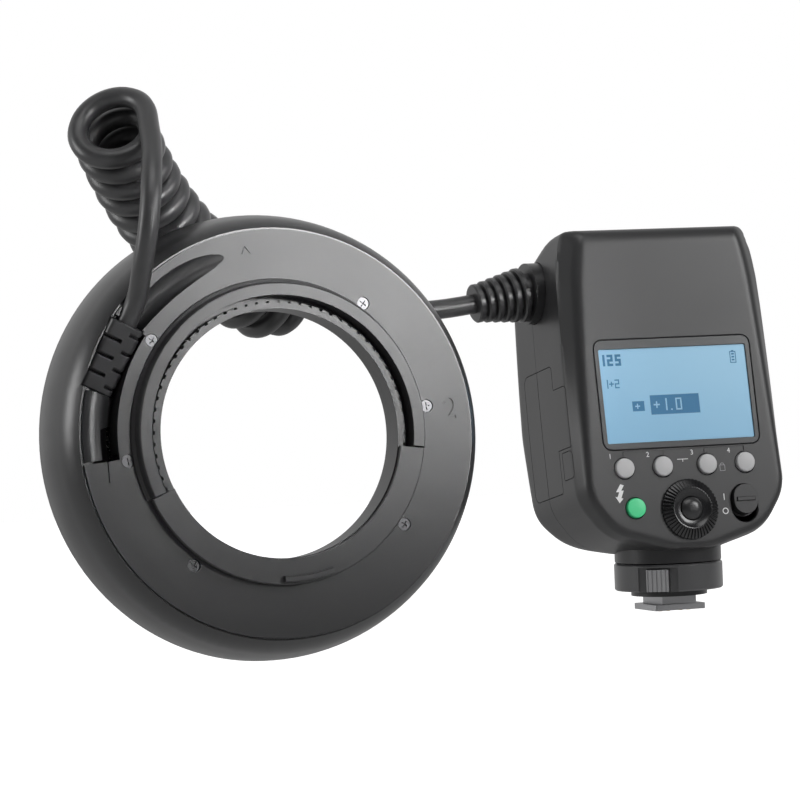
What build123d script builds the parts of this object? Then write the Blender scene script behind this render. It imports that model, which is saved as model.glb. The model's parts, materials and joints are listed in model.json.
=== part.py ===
from build123d import *
import math
import os

os.makedirs("parts", exist_ok=True)

# A macro ring flash: a shoe-mounted controller on the right, a ring-shaped flash head on the left,
# and the curly cord that joins them. Millimetres, +Z up, the controller's display faces -Y.
# The origin is the middle of the bottom face of the shoe foot.

# Controller driving sizes
face_lean = 9.91
face_start_back = 25.3
body_front_bottom = 21.3
body_top = 130.0
body_half_width = 38.0
cheek_depth = 6.0
parting_depth = 29.5
wall = 2.0
body_reach = 62.0
fit_gap = 0.25

# Ring head driving sizes
ring_left = 157.5
ring_forward = 59.1
ring_height = 67.7
ring_centre = Vector(-ring_left, -ring_forward, ring_height)
ring_tip = 4.5
ring_roll = 7.3
ring_bore_radius = 39.0
ring_outer_radius = 70.6
ring_width = ring_outer_radius - ring_bore_radius
ring_depth = 27.5
cover_thickness = 2.2

# Cord driving sizes
cord_diameter = 6.6
cord_radius = cord_diameter / 2
curl_turns = 14
curl_radius = 10.5
first_curl_radius = 11.6
last_curl_radius = 6.0
curl_pitch = 7.65
last_curl_pitch = 8.8
loose_curls_from = 8
first_curl_angle = 74
nodes_per_turn = 4

# Shoe and lock ring driving sizes
foot_width = 18.6
foot_length = 18.0
foot_thickness = 2.0
hub_radius = 11.3
hub_clearance = 0.06
lock_ring_radius = 18.4
lock_ring_bottom = 6.8
lock_ring_top = 16.0
ring_edge = 0.5


# Directions and planes of the controller
lean = math.radians(face_lean)
inward = Vector(0, math.cos(lean), -math.sin(lean))
outward = inward * -1
upward = Vector(0, math.sin(lean), math.cos(lean))
across = Vector(1, 0, 0)
face_origin = Vector(0, -face_start_back, 0)


def along_face(height):
    """Distance up the leaning face of a point at this height above the foot."""
    return height / math.cos(lean)


def face_plane(depth):
    """Plane parallel to the display face, this far behind it, facing the viewer."""
    return Plane(origin=face_origin + inward * depth, x_dir=across, z_dir=outward)


def side_plane(sideways):
    """Plane across the controller: x runs back from the face, y runs up it."""
    return Plane(origin=face_origin + across * sideways, x_dir=inward, z_dir=across)


def face_point(sideways, height, depth):
    """World point given sideways, height on the face and depth behind it."""
    return face_origin + across * sideways + upward * along_face(height) + inward * depth


# Directions and planes of the ring head
tip = math.radians(ring_tip)
roll = math.radians(ring_roll)
ring_out = Vector(0, -math.cos(tip), math.sin(tip))
ring_up = Vector(0, math.sin(tip), math.cos(tip))
ring_across = across * math.cos(roll) + ring_up * math.sin(roll)
ring_rise = ring_out.cross(ring_across)
ring_axis = Axis(ring_centre, ring_out)


def ring_direction(angle):
    """Direction away from the ring's axis, turned this many degrees round it."""
    return ring_across * math.cos(math.radians(angle)) + ring_rise * math.sin(math.radians(angle))


def ring_point(radius, angle, height):
    """Point at this radius and angle, this far out of the ring's rear face."""
    return ring_centre + ring_direction(angle) * radius + ring_out * height


def ring_face(height):
    """Plane parallel to the ring's rear face, this far out of it."""
    return Plane(origin=ring_centre + ring_out * height, x_dir=ring_across, z_dir=ring_out)


def ring_radius(share):
    """Radius this share of the way out from the bore to the widest part of the shell."""
    return ring_bore_radius + ring_width * share


def ring_outline(shares):
    """Profile points from shares of the ring's width and depth; a negative depth stands above the face."""
    return [(ring_radius(out_share), -ring_depth * in_share) for out_share, in_share in shares]


def ring_spot(radius, angle, height):
    """Plane parallel to the ring's rear face, centred on a point of the ring."""
    return Plane(ring_point(radius, angle, height), ring_across, ring_out)


def ring_section(angle):
    """Plane through the ring's axis: x is the radius, y the height out of the rear face."""
    facing = ring_direction(angle + 90) * -1
    return Plane(origin=ring_centre, x_dir=ring_direction(angle), z_dir=facing)


# The curly cord's route, worked out along its bent axis
curl_controls = [
    Vector(-202, -38, 167),
    Vector(-186, -12, 141.5),
    Vector(-156, 9, 107),
    Vector(-111, 15, 105),
]
axis_steps = 400
first_opening_turns = 1.4
last_closing_turns = 0.9
sample_step = 0.5
turn_step = 0.005


def axis_curve(share):
    """Point on the cubic curve that the coil's axis follows."""
    rest = 1 - share
    first, second, third, fourth = curl_controls
    near = first * rest**3 + second * (3 * share * rest**2)
    return near + third * (3 * share**2 * rest) + fourth * share**3


axis_lengths = [0]
for axis_step in range(axis_steps):
    stride = axis_curve((axis_step + 1) / axis_steps) - axis_curve(axis_step / axis_steps)
    axis_lengths.append(axis_lengths[-1] + stride.length)


def axis_at(distance):
    """Point on the coil's axis this far along it."""
    distance = min(max(distance, 0), axis_lengths[-1])
    low = 0
    high = axis_steps
    while high - low > 1:
        between = (low + high) // 2
        if axis_lengths[between] <= distance:
            low = between
        else:
            high = between
    part_way = (distance - axis_lengths[low]) / (axis_lengths[high] - axis_lengths[low])
    return axis_curve((low + part_way) / axis_steps)


def ease(value):
    """Smooth step from 0 to 1."""
    value = min(max(value, 0), 1)
    return value * value * (3 - 2 * value)


def curl_advance(turn):
    """Distance along the axis after this many turns, with the pitch growing at the end."""
    late = max(turn - loose_curls_from, 0)
    growth = (last_curl_pitch - curl_pitch) / (2 * (curl_turns - loose_curls_from))
    return curl_pitch * turn + growth * late**2


def curl_reach(turn):
    """Radius of the coil's centreline: looser in the first turn, drawn in at the last."""
    opening = (first_curl_radius - curl_radius) * (1 - ease(turn / first_opening_turns))
    closing_share = ease((turn - curl_turns + last_closing_turns) / last_closing_turns)
    return curl_radius + opening + (last_curl_radius - curl_radius) * closing_share


def curl_point(turn):
    """Point on the cord's centreline after this many turns; the coil is left-handed."""
    distance = curl_advance(turn)
    near = max(distance, sample_step)
    along = (axis_at(near + sample_step) - axis_at(near - sample_step)).normalized()
    middle = axis_at(distance) + along * min(distance, 0)
    level = (Vector(0, 0, 1) - along * along.Z).normalized()
    side = along.cross(level)
    angle = math.radians(first_curl_angle - 360 * turn)
    return middle + (level * math.cos(angle) + side * math.sin(angle)) * curl_reach(turn)


def curl_heading(turn):
    """Direction of the cord after this many turns."""
    return (curl_point(turn + turn_step) - curl_point(turn - turn_step)).normalized()


def arc_between(start, way, end):
    """Three points of the arc that leaves start along way and reaches end."""
    chord = end - start
    lean_angle = math.radians(way.get_angle(chord))
    bulge = (way - chord * (way.dot(chord) / chord.dot(chord))).normalized()
    middle = (start + end) * 0.5 + bulge * (chord.length * 0.5 * math.tan(lean_angle / 2))
    return start, middle, end


def arc_pair(start, start_way, end, end_way):
    """Two tangent arcs that join two points with given directions."""
    chord = end - start
    both = chord.dot(start_way + end_way)
    spread = 2 * (1 - start_way.dot(end_way))
    reach = (math.sqrt(both**2 + spread * chord.dot(chord)) - both) / spread
    joint = (start + end + (start_way - end_way) * reach) * 0.5
    last_start, last_middle, last_end = arc_between(end, end_way * -1, joint)
    return [arc_between(start, start_way, joint), (last_end, last_middle, last_start)]


# Where the strain-relief boot sits in the ring's notch, and the cord's free stretches
ring_rear_share = 0.791
notch_inner_share = 0.427
ring_rear_radius = ring_radius(ring_rear_share)
notch_inner_radius = ring_radius(notch_inner_share)
ring_boot_radius = (notch_inner_radius + ring_rear_radius) / 2
ring_boot_angle = 145.6
ring_boot_depth = 4.9
ring_boot_tip = 16.0
ring_boot_length = 22.5
notch_side_gap = 0.3
ring_boot_width = ring_rear_radius - notch_inner_radius - 2 * notch_side_gap
ring_boot_thickness = 7.6
boot_tangent = ring_direction(ring_boot_angle - 90)
boot_axis = boot_tangent * math.cos(math.radians(ring_boot_tip))
boot_axis = boot_axis + ring_out * math.sin(math.radians(ring_boot_tip))
boot_centre = ring_point(ring_boot_radius, ring_boot_angle, -ring_boot_depth)
boot_exit = boot_centre + boot_axis * (ring_boot_length / 2)

first_run = 8.0
end_run = 10.0
curl_start = curl_point(0)
curl_start_way = curl_heading(0)
coil_entry = curl_start - curl_start_way * cord_diameter
ring_side_points = [
    boot_exit,
    boot_exit + boot_axis * first_run,
    Vector(-201.8, -64, 119.2),
    Vector(-200.6, -68.2, 130),
    Vector(-198.8, -67.6, 142),
    Vector(-196.5, -62, 151),
    coil_entry - curl_start_way * end_run,
    coil_entry,
]
coil_tail = Vector(-97.5, 20, 103.8)
coil_tail_way = Vector(1, 0, 0.02).normalized()
coil_exit = coil_tail + coil_tail_way * cord_diameter
boot_droop = 8.0
boot_run = 19.3
boss_centre_back = 20.3
boss_centre_height = 108.6
boss_rise = 2.2
boss_outer_end = -(body_half_width + boss_rise)
boss_centre = Vector(boss_outer_end, boss_centre_back, boss_centre_height)
controller_boot_way = Vector(math.cos(math.radians(boot_droop)), 0, math.sin(math.radians(boot_droop)))
controller_boot_tip = boss_centre - controller_boot_way * boot_run
controller_side_points = [
    coil_exit,
    coil_exit + coil_tail_way * end_run,
    controller_boot_tip - controller_boot_way * end_run,
    controller_boot_tip,
]
bend_share = 0.45


def corner_radii(points):
    """Radius at each corner: 0.45 of the shorter run over the tangent of half the turn."""
    radii = []
    for before, corner, after in zip(points, points[1:], points[2:]):
        first = corner - before
        second = after - corner
        half_turn = math.radians(first.get_angle(second) / 2)
        radii.append(bend_share * min(first.length, second.length) / math.tan(half_turn))
    return radii


curl_nodes = []
for node in range(curl_turns * nodes_per_turn + 1):
    turned = node / nodes_per_turn
    curl_nodes.append((curl_point(turned), curl_heading(turned)))
curl_nodes.append((coil_tail, coil_tail_way))
curl_arcs = []
for (here, way_here), (there, way_there) in zip(curl_nodes, curl_nodes[1:]):
    curl_arcs += arc_pair(here, way_here, there, way_there)


points_per_arc = 6
own_length = 4 * cord_diameter


def print_self_gap():
    """Measure the coil's least gap to itself on points along its arcs, and print it."""
    points = []
    for start, middle, end in curl_arcs:
        arc = ThreePointArc(start, middle, end, mode=Mode.PRIVATE)
        points += [arc.position_at(step / points_per_arc) for step in range(points_per_arc)]
    run = [0]
    for before, after in zip(points, points[1:]):
        run.append(run[-1] + (after - before).length)
    least = run[-1]
    for index, point in enumerate(points):
        for other in range(index + 1, len(points)):
            if run[other] - run[index] > own_length:
                least = min(least, (points[other] - point).length)
    print("coil: least gap to itself", round(least - cord_diameter, 3))
    print("coil: length", round(run[-1] + 2 * cord_diameter, 1))


print_self_gap()
print("ring side corner radii", [round(radius, 1) for radius in corner_radii(ring_side_points)])
print("controller side corner radii", [round(radius, 1) for radius in corner_radii(controller_side_points)])


# Ring head: the outer shell, a wall of revolution with a tray for the strain relief
shell_lip_share = 0.029
rim_gap = 0.1
ledge_share = 0.728
shell_front_round_shares = [(1, 0.873), (0.975, 0.967), (0.905, 1)]
shell_curve_shares = [(0.81, shell_lip_share), (0.896, 0.167), (0.946, 0.327)]
shell_side_way = (0.26, -0.966)
shell_inside_shares = [
    (0.87, 1),
    (0.87, 0.92),
    (0.832, 0.92),
    (0.832, 0.88),
    (0.924, 0.851),
    (0.883, 0.364),
    (0.778, 0.153),
    (0.728, 0.124),
]
shell_front_round = ring_outline(shell_front_round_shares)
shell_curve = ring_outline(shell_curve_shares)
shell_lip_top = ring_depth * shell_lip_share
shell_inside = ring_outline(shell_inside_shares)
shell_inside.append((ring_radius(ledge_share), -cover_thickness))
shell_inside.append((ring_rear_radius + rim_gap, -cover_thickness))
shell_inside.append((ring_rear_radius + rim_gap, -shell_lip_top))
tray_bottom = 12.9
tray_top = 11.8
tray_outer_share = 0.899
tray_inner_radius = notch_inner_radius + notch_side_gap
tray_outer_radius = ring_radius(tray_outer_share)
tray_start_angle = 131.0
tray_sweep = 50.0
tray_floor = [
    (tray_inner_radius, -tray_bottom),
    (tray_outer_radius, -tray_bottom),
    (tray_outer_radius, -tray_top),
    (tray_inner_radius, -tray_top),
]
hump_start_angle = 157.8
hump_sweep = 20.4
hump_foot_shares = [(0.443, 0.433), (0.772, 0.433), (0.772, 0.065)]
hump_crown_shares = [(0.772, 0.065), (0.544, 0.105), (0.443, 0.262)]
hump_scoop_radius = 10.0
hump_scoop_angle = 178.2
hump_foot = ring_outline(hump_foot_shares)
hump_crown = ring_outline(hump_crown_shares)
boot_clearance = 0.3
boot_pocket_width = ring_boot_width + 2 * boot_clearance
boot_pocket_length = ring_boot_length + 2 * boot_clearance
boot_pocket_thickness = ring_boot_thickness + 2 * boot_clearance
channel_radius = cord_radius + 0.45
trough_inner_share = 0.443
trough_outer_share = 0.728
trough_inner_radius = ring_radius(trough_inner_share)
trough_outer_radius = ring_radius(trough_outer_share)
scoop_share = 0.42
scoop_radius = (trough_inner_radius + trough_outer_radius) / 2
scoop_tube_radius = (trough_outer_radius - trough_inner_radius) * scoop_share
scoop_start_angle = 97.5
scoop_sweep = 38.0
scoop_fall = 10.2

boot_plane = Plane(origin=boot_centre, x_dir=ring_direction(ring_boot_angle), z_dir=boot_axis)

with BuildPart() as boot_pocket:
    with BuildSketch(boot_plane):
        Rectangle(boot_pocket_width, boot_pocket_thickness)
    extrude(amount=boot_pocket_length / 2, both=True)
    with BuildSketch(boot_plane.offset(-ring_boot_length / 2)):
        with Locations((0, boot_pocket_thickness)):
            Rectangle(boot_pocket_width, boot_pocket_thickness)
    extrude(amount=ring_boot_length)

# The channel that the cord's first runs lie in as it leaves the boot and climbs over the rim
channel_corner = ring_side_points[1]
channel_first_way = (channel_corner - boot_exit).normalized()
channel_second_way = (ring_side_points[2] - channel_corner).normalized()
channel_length = first_run * 2

with BuildPart() as cord_channel:
    with BuildSketch(Plane(origin=boot_exit, z_dir=channel_first_way)):
        Circle(channel_radius)
    extrude(amount=first_run)
    with BuildSketch(Plane(origin=channel_corner, z_dir=channel_second_way)):
        Circle(channel_radius)
    extrude(amount=channel_length)
    with Locations(Plane(origin=channel_corner)):
        Sphere(channel_radius)

# The finger-wide scoop in the rear face that deepens towards the boot
scoop_line = ring_direction(scoop_start_angle)
scoop_middle = ring_centre + ring_out * scoop_tube_radius
scoop_axis = Axis(scoop_middle, ring_out.rotate(Axis(Vector(0, 0, 0), scoop_line), -scoop_fall))
scoop_section = Plane(origin=scoop_middle, x_dir=scoop_line, z_dir=scoop_line.cross(scoop_axis.direction))

with BuildPart() as scoop:
    with BuildSketch(scoop_section):
        with Locations((scoop_radius, 0)):
            Circle(scoop_tube_radius)
    revolve(axis=scoop_axis, revolution_arc=scoop_sweep)

with BuildPart() as ring_shell:
    with BuildSketch(ring_section(0)):
        with BuildLine():
            ThreePointArc(*shell_curve)
            TangentArc(shell_curve[-1], shell_front_round[0], tangent=shell_side_way)
            ThreePointArc(*shell_front_round)
            Polyline(shell_front_round[-1], *shell_inside, shell_curve[0])
        make_face()
    revolve(axis=ring_axis)
    with BuildSketch(ring_section(tray_start_angle)):
        Polygon(*tray_floor, align=None)
    revolve(axis=ring_axis, revolution_arc=tray_sweep)
    with BuildSketch(ring_section(hump_start_angle)):
        with BuildLine():
            ThreePointArc(*hump_crown)
            Polyline(hump_crown[-1], *hump_foot)
        make_face()
    revolve(axis=ring_axis, revolution_arc=hump_sweep)
    with BuildSketch(ring_spot(tray_inner_radius, hump_scoop_angle, -tray_top)):
        Circle(hump_scoop_radius)
    extrude(amount=tray_top - cover_thickness, mode=Mode.SUBTRACT)
    add(boot_pocket.part, mode=Mode.SUBTRACT)
    add(cord_channel.part, mode=Mode.SUBTRACT)
ring_shell.part.label = "ring_shell"
export_step(ring_shell.part, "parts/ring_shell.step")

# Ring head: the flat rear cover with its notch for the boot, the scoop and the screw seats
cover_inner_share = 0.123
cover_inner_radius = ring_radius(cover_inner_share)
notch_start_angle = 135.0
notch_sweep = 44.0
skirt_start_angle = 138.2
skirt_sweep = 38.6
skirt_depth = 8.3
skirt_thickness = 1.2
trough_start_angle = 96.0
trough_sweep = 39.0
trough_depth = 7.4
screw_circle_share = 0.348
screw_circle_radius = ring_radius(screw_circle_share)
screw_angles = [135, 45, 0, -45, -135, 180]
screw_head_radius = 1.9
screw_seat_radius = 2.1
screw_seat_depth = 1.4
screw_hole_radius = 1.1
latch_post_angle = 17.9
latch_post_share = 0.209
latch_post_circle = ring_radius(latch_post_share)
latch_post_sideways = latch_post_circle * math.cos(math.radians(latch_post_angle))
latch_post_down = latch_post_circle * math.sin(math.radians(latch_post_angle))
latch_post_radius = 0.8
latch_post_gap = 0.15
latch_travel = 2.5
slot_width = 2 * (latch_post_radius + latch_post_gap)
slot_length = slot_width + latch_travel
spring_length = 6.0
spring_end_gap = 0.3
stop_width = 4.0
stop_length = 1.6
spring_top_down = latch_post_down + latch_travel + latch_post_radius + spring_end_gap
stop_down = spring_top_down + spring_length + stop_length / 2
stop_depth = 3.6

with BuildPart() as ring_rear_cover:
    with BuildSketch(ring_face(-cover_thickness)):
        Circle(ring_rear_radius)
        Circle(cover_inner_radius, mode=Mode.SUBTRACT)
    extrude(amount=cover_thickness)
    with BuildSketch(ring_section(trough_start_angle)):
        with BuildLine():
            Polyline(
                (trough_inner_radius, -cover_thickness),
                (trough_inner_radius, -trough_depth),
                (trough_outer_radius - skirt_thickness, -trough_depth),
                (trough_outer_radius, -cover_thickness),
                close=True,
            )
        make_face()
    revolve(axis=ring_axis, revolution_arc=trough_sweep)
    with BuildSketch(ring_section(notch_start_angle)):
        with BuildLine():
            Polyline(
                (notch_inner_radius, screw_head_radius),
                (notch_inner_radius, -tray_bottom),
                (ring_outer_radius, -tray_bottom),
                (ring_outer_radius, screw_head_radius),
                close=True,
            )
        make_face()
    revolve(axis=ring_axis, revolution_arc=notch_sweep, mode=Mode.SUBTRACT)
    with BuildSketch(ring_section(skirt_start_angle)):
        with BuildLine():
            Polyline(
                (notch_inner_radius - skirt_thickness, -cover_thickness),
                (notch_inner_radius - skirt_thickness, -skirt_depth),
                (notch_inner_radius, -skirt_depth),
                (notch_inner_radius, -cover_thickness),
                close=True,
            )
        make_face()
    revolve(axis=ring_axis, revolution_arc=skirt_sweep)
    with BuildSketch(ring_face(-cover_thickness)):
        for sideways in (-latch_post_sideways, latch_post_sideways):
            with Locations((sideways, -stop_down)):
                Rectangle(stop_width, stop_length)
    extrude(amount=-stop_depth)
    with BuildSketch(ring_face(0)):
        for sideways in (-latch_post_sideways, latch_post_sideways):
            with Locations((sideways, -latch_post_down - latch_travel / 2)):
                SlotOverall(slot_length, slot_width, rotation=90)
    extrude(amount=-cover_thickness, mode=Mode.SUBTRACT)
    add(scoop.part, mode=Mode.SUBTRACT)
    add(boot_pocket.part, mode=Mode.SUBTRACT)
    add(cord_channel.part, mode=Mode.SUBTRACT)
    for angle in screw_angles:
        with Locations(ring_spot(screw_circle_radius, angle, 0)):
            CounterBoreHole(screw_hole_radius, screw_seat_radius, screw_seat_depth, trough_depth)
ring_rear_cover.part.label = "ring_rear_cover"
export_step(ring_rear_cover.part, "parts/ring_rear_cover.step")

# Ring head: the six cover screws
screw_head_height = 1.0
screw_shank_radius = 1.0
screw_shank_length = 5.6

with BuildPart() as ring_screws:
    for angle in screw_angles:
        seat = ring_spot(screw_circle_radius, angle, -screw_seat_depth)
        with BuildSketch(seat):
            Circle(screw_head_radius)
        extrude(amount=screw_head_height)
        with BuildSketch(seat):
            Circle(screw_shank_radius)
        extrude(amount=-screw_shank_length)
ring_screws.part.label = "ring_screws"
export_step(ring_screws.part, "parts/ring_screws.step")

# Ring head: the notched sleeve that clamps a lens adapter
sleeve_lip = 1.0
sleeve_end = 9.5
sleeve_lip_share = 0.076
sleeve_wall_share = 0.079
sleeve_flange_share = 0.152
sleeve_flange_thickness = 2.0
sleeve_lip_radius = ring_radius(sleeve_lip_share)
sleeve_profile = [
    (ring_bore_radius, sleeve_lip),
    (sleeve_lip_radius, sleeve_lip),
    (sleeve_lip_radius, -cover_thickness),
    (ring_radius(sleeve_flange_share), -cover_thickness),
    (ring_radius(sleeve_flange_share), -cover_thickness - sleeve_flange_thickness),
    (ring_radius(sleeve_wall_share), -cover_thickness - sleeve_flange_thickness),
    (ring_radius(sleeve_wall_share), -sleeve_end),
    (ring_bore_radius, -sleeve_end),
]
notch_count = 72
notch_width = 1.2
notch_depth = 0.6
notch_height = 2.4

with BuildPart() as adapter_sleeve:
    with BuildSketch(ring_section(0)):
        Polygon(*sleeve_profile, align=None)
    revolve(axis=ring_axis)
    with BuildSketch(ring_face(sleeve_lip)):
        with PolarLocations(sleeve_lip_radius, notch_count):
            Rectangle(2 * notch_depth, notch_width)
    extrude(amount=-notch_height, mode=Mode.SUBTRACT)
adapter_sleeve.part.label = "adapter_sleeve"
export_step(adapter_sleeve.part, "parts/adapter_sleeve.step")

# Ring head: the raised crescent that guides the adapter
crescent_start_angle = -15.5
crescent_sweep = 211.0
crescent_shares = [
    (0.123, 0),
    (0.301, 0),
    (0.294, -0.025),
    (0.259, -0.04),
    (0.247, -0.171),
    (0.237, -0.182),
    (0.123, -0.182),
]

with BuildPart() as mount_collar:
    with BuildSketch(ring_section(crescent_start_angle)):
        Polygon(*ring_outline(crescent_shares), align=None)
    revolve(axis=ring_axis, revolution_arc=crescent_sweep)
mount_collar.part.label = "mount_collar"
export_step(mount_collar.part, "parts/mount_collar.step")

# Ring head: the sprung half ring that locks the adapter, with its finger tab and two posts
latch_start_angle = -164.0
latch_sweep = 148.0
latch_shares = [
    (0.013, -0.042),
    (0.13, -0.042),
    (0.13, -0.005),
    (0.263, -0.005),
    (0.263, -0.098),
    (0.253, -0.109),
    (0.013, -0.109),
]
tab_start_angle = -100.8
tab_sweep = 20.5
tab_shares = [
    (0.18, -0.109),
    (0.237, -0.109),
    (0.237, -0.171),
    (0.228, -0.182),
    (0.19, -0.182),
    (0.18, -0.171),
]
latch_post_top = 0.4
latch_post_length = 5.6

with BuildPart() as adapter_latch:
    with BuildSketch(ring_section(latch_start_angle)):
        Polygon(*ring_outline(latch_shares), align=None)
    revolve(axis=ring_axis, revolution_arc=latch_sweep)
    with BuildSketch(ring_section(tab_start_angle)):
        Polygon(*ring_outline(tab_shares), align=None)
    revolve(axis=ring_axis, revolution_arc=tab_sweep)
    with BuildSketch(ring_face(latch_post_top)):
        with Locations((-latch_post_sideways, -latch_post_down), (latch_post_sideways, -latch_post_down)):
            Circle(latch_post_radius)
    extrude(amount=-latch_post_length)
adapter_latch.part.label = "adapter_latch"
export_step(adapter_latch.part, "parts/adapter_latch.step")

# Ring head: the two latch springs, drawn at their pressed length against their stops
spring_radius = 1.5
spring_inner_radius = 1.0
spring_height = -3.9
spring_start_down = stop_down - stop_length / 2

with BuildPart() as latch_springs:
    for sideways in (-latch_post_sideways, latch_post_sideways):
        seat_point = ring_centre + ring_across * sideways - ring_rise * spring_start_down
        with BuildSketch(Plane(seat_point + ring_out * spring_height, ring_across, ring_rise)):
            Circle(spring_radius)
            Circle(spring_inner_radius, mode=Mode.SUBTRACT)
        extrude(amount=spring_length)
latch_springs.part.label = "latch_springs"
export_step(latch_springs.part, "parts/latch_springs.step")

# Ring head: the flared hood of the bore, with the flange and bosses that take the screws
boss_radius = 2.4
boss_hole_radius = 1.1
boss_base = ring_depth * 0.305
hood_seat_share = 0.085
hood_shares = [
    (0.418, 0.305),
    (0.418, 0.364),
    (0.139, 0.385),
    (0.272, 0.88),
    (0.272, 0.92),
    (0.237, 0.92),
    (0.237, 1),
    (0.222, 1),
    (0.222, 0.953),
]
hood_profile = [
    (ring_bore_radius, -sleeve_end),
    (ring_radius(hood_seat_share), -sleeve_end),
    (ring_radius(hood_seat_share), -boss_base),
    *ring_outline(hood_shares),
]

with BuildPart() as bore_hood:
    with BuildSketch(ring_section(0)):
        Polygon(*hood_profile, align=None)
    revolve(axis=ring_axis)
    for angle in screw_angles:
        with BuildSketch(ring_spot(screw_circle_radius, angle, -cover_thickness)):
            Circle(boss_radius)
            Circle(boss_hole_radius, mode=Mode.SUBTRACT)
        extrude(amount=cover_thickness - boss_base)
bore_hood.part.label = "bore_hood"
export_step(bore_hood.part, "parts/bore_hood.step")

# Ring head: the ring-shaped diffuser window at the front
diffuser_back_share = 0.92
diffuser_gap = 0.1
diffuser_inner_radius = hood_profile[-4][0] + diffuser_gap
diffuser_outer_radius = shell_inside[0][0] - diffuser_gap
diffuser_back = ring_depth * diffuser_back_share
diffuser_thickness = 1.9

with BuildPart() as front_diffuser:
    with BuildSketch(ring_face(-diffuser_back)):
        Circle(diffuser_outer_radius)
        Circle(diffuser_inner_radius, mode=Mode.SUBTRACT)
    extrude(amount=-diffuser_thickness)
front_diffuser.part.label = "front_diffuser"
export_step(front_diffuser.part, "parts/front_diffuser.step")

# Ring head: the reflector trough behind the diffuser
reflector_shares = [
    (0.294, 0.92),
    (0.354, 0.509),
    (0.791, 0.509),
    (0.829, 0.92),
    (0.804, 0.92),
    (0.769, 0.538),
    (0.377, 0.538),
    (0.32, 0.92),
]
reflector_profile = ring_outline(reflector_shares)
reflector_back = -reflector_profile[1][1]
reflector_floor = -reflector_profile[5][1]

with BuildPart() as reflector:
    with BuildSketch(ring_section(0)):
        Polygon(*reflector_profile, align=None)
    revolve(axis=ring_axis)
reflector.part.label = "reflector"
export_step(reflector.part, "parts/reflector.step")

# Ring head: two curved flash tubes on end caps, and the modelling lamps between them
tube_circle_share = 0.582
tube_depth_share = 0.727
tube_circle_radius = ring_radius(tube_circle_share)
tube_depth = ring_depth * tube_depth_share
tube_radius = 2.6
tube_sweep = 164.0
cap_radius = 1.8


def flash_tube(start_angle):
    """Curved tube round the ring, with a cap at each end that stands on the reflector."""
    with BuildPart() as tube:
        with BuildSketch(ring_section(start_angle)):
            with Locations((tube_circle_radius, -tube_depth)):
                Circle(tube_radius)
        revolve(axis=ring_axis, revolution_arc=tube_sweep)
        for angle in (start_angle, start_angle + tube_sweep):
            with BuildSketch(ring_spot(tube_circle_radius, angle, -tube_depth)):
                Circle(cap_radius)
            extrude(amount=tube_depth - reflector_floor)
    return tube


for tube_name, tube_start in (("flash_tube_a", 8.0), ("flash_tube_b", 188.0)):
    finished_tube = flash_tube(tube_start)
    finished_tube.part.label = tube_name
    export_step(finished_tube.part, "parts/" + tube_name + ".step")

lamp_angles = [-2.6, 2.6, 177.4, 182.6]
lamp_radius = 1.5
lamp_height = 4.4

with BuildPart() as modelling_lamps:
    for angle in lamp_angles:
        foot_point = ring_point(tube_circle_radius, angle, -reflector_floor)
        with BuildSketch(Plane(foot_point, ring_across, ring_out * -1)):
            Circle(lamp_radius)
        extrude(amount=lamp_height)
modelling_lamps.part.label = "modelling_lamps"
export_step(modelling_lamps.part, "parts/modelling_lamps.step")

# Ring head: the circuit board, a long sector on four legs
board_start_angle = -125.0
board_sweep = 218.0
ring_board_shares = [(0.475, 0.36), (0.712, 0.36), (0.712, 0.302), (0.475, 0.302)]
ring_board_profile = ring_outline(ring_board_shares)
board_underside = -ring_board_profile[0][1]
leg_radius = 1.3
leg_angles = [-115, -45, 20, 85]

with BuildPart() as ring_board:
    with BuildSketch(ring_section(board_start_angle)):
        Polygon(*ring_board_profile, align=None)
    revolve(axis=ring_axis, revolution_arc=board_sweep)
    for angle in leg_angles:
        with BuildSketch(ring_spot(tube_circle_radius, angle, -board_underside)):
            Circle(leg_radius)
        extrude(amount=board_underside - reflector_back)
ring_board.part.label = "ring_board"
export_step(ring_board.part, "parts/ring_board.step")

# Ring head: the strain-relief boot, blocks joined along one side so that it bends
boot_round = 1.6
gap_width = 1.0
left_gap_shares = [-0.26, 0.0, 0.26]
right_gap_shares = [-0.39, -0.13, 0.13, 0.39]
left_gap_reach_share = 0.53
right_gap_reach_share = 0.33
gap_depth_share = 0.45
left_gap_reach = ring_boot_width * left_gap_reach_share
right_gap_reach = ring_boot_width * right_gap_reach_share
gap_depth = ring_boot_thickness * gap_depth_share
gap_centre = (ring_boot_thickness - gap_depth) / 2

with BuildPart() as ring_boot:
    with BuildSketch(boot_plane):
        RectangleRounded(ring_boot_width, ring_boot_thickness, boot_round)
    extrude(amount=ring_boot_length / 2, both=True)
    for share in left_gap_shares:
        gap_plane = boot_plane.offset(share * ring_boot_length - gap_width / 2)
        with BuildSketch(gap_plane):
            with Locations(((ring_boot_width - left_gap_reach) / 2, gap_centre)):
                Rectangle(left_gap_reach, gap_depth)
        extrude(amount=gap_width, mode=Mode.SUBTRACT)
    for share in right_gap_shares:
        gap_plane = boot_plane.offset(share * ring_boot_length - gap_width / 2)
        with BuildSketch(gap_plane):
            with Locations(((right_gap_reach - ring_boot_width) / 2, gap_centre)):
                Rectangle(right_gap_reach, gap_depth)
        extrude(amount=gap_width, mode=Mode.SUBTRACT)
ring_boot.part.label = "ring_boot"
export_step(ring_boot.part, "parts/ring_boot.step")


def cord_stretch(points):
    """Round tube along straight runs joined by tangent arcs."""
    with BuildPart() as stretch:
        with BuildLine():
            FilletPolyline(*points, radius=corner_radii(points))
        with BuildSketch(Plane(origin=points[0], z_dir=points[1] - points[0])):
            Circle(cord_radius)
        sweep()
    return stretch


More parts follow.
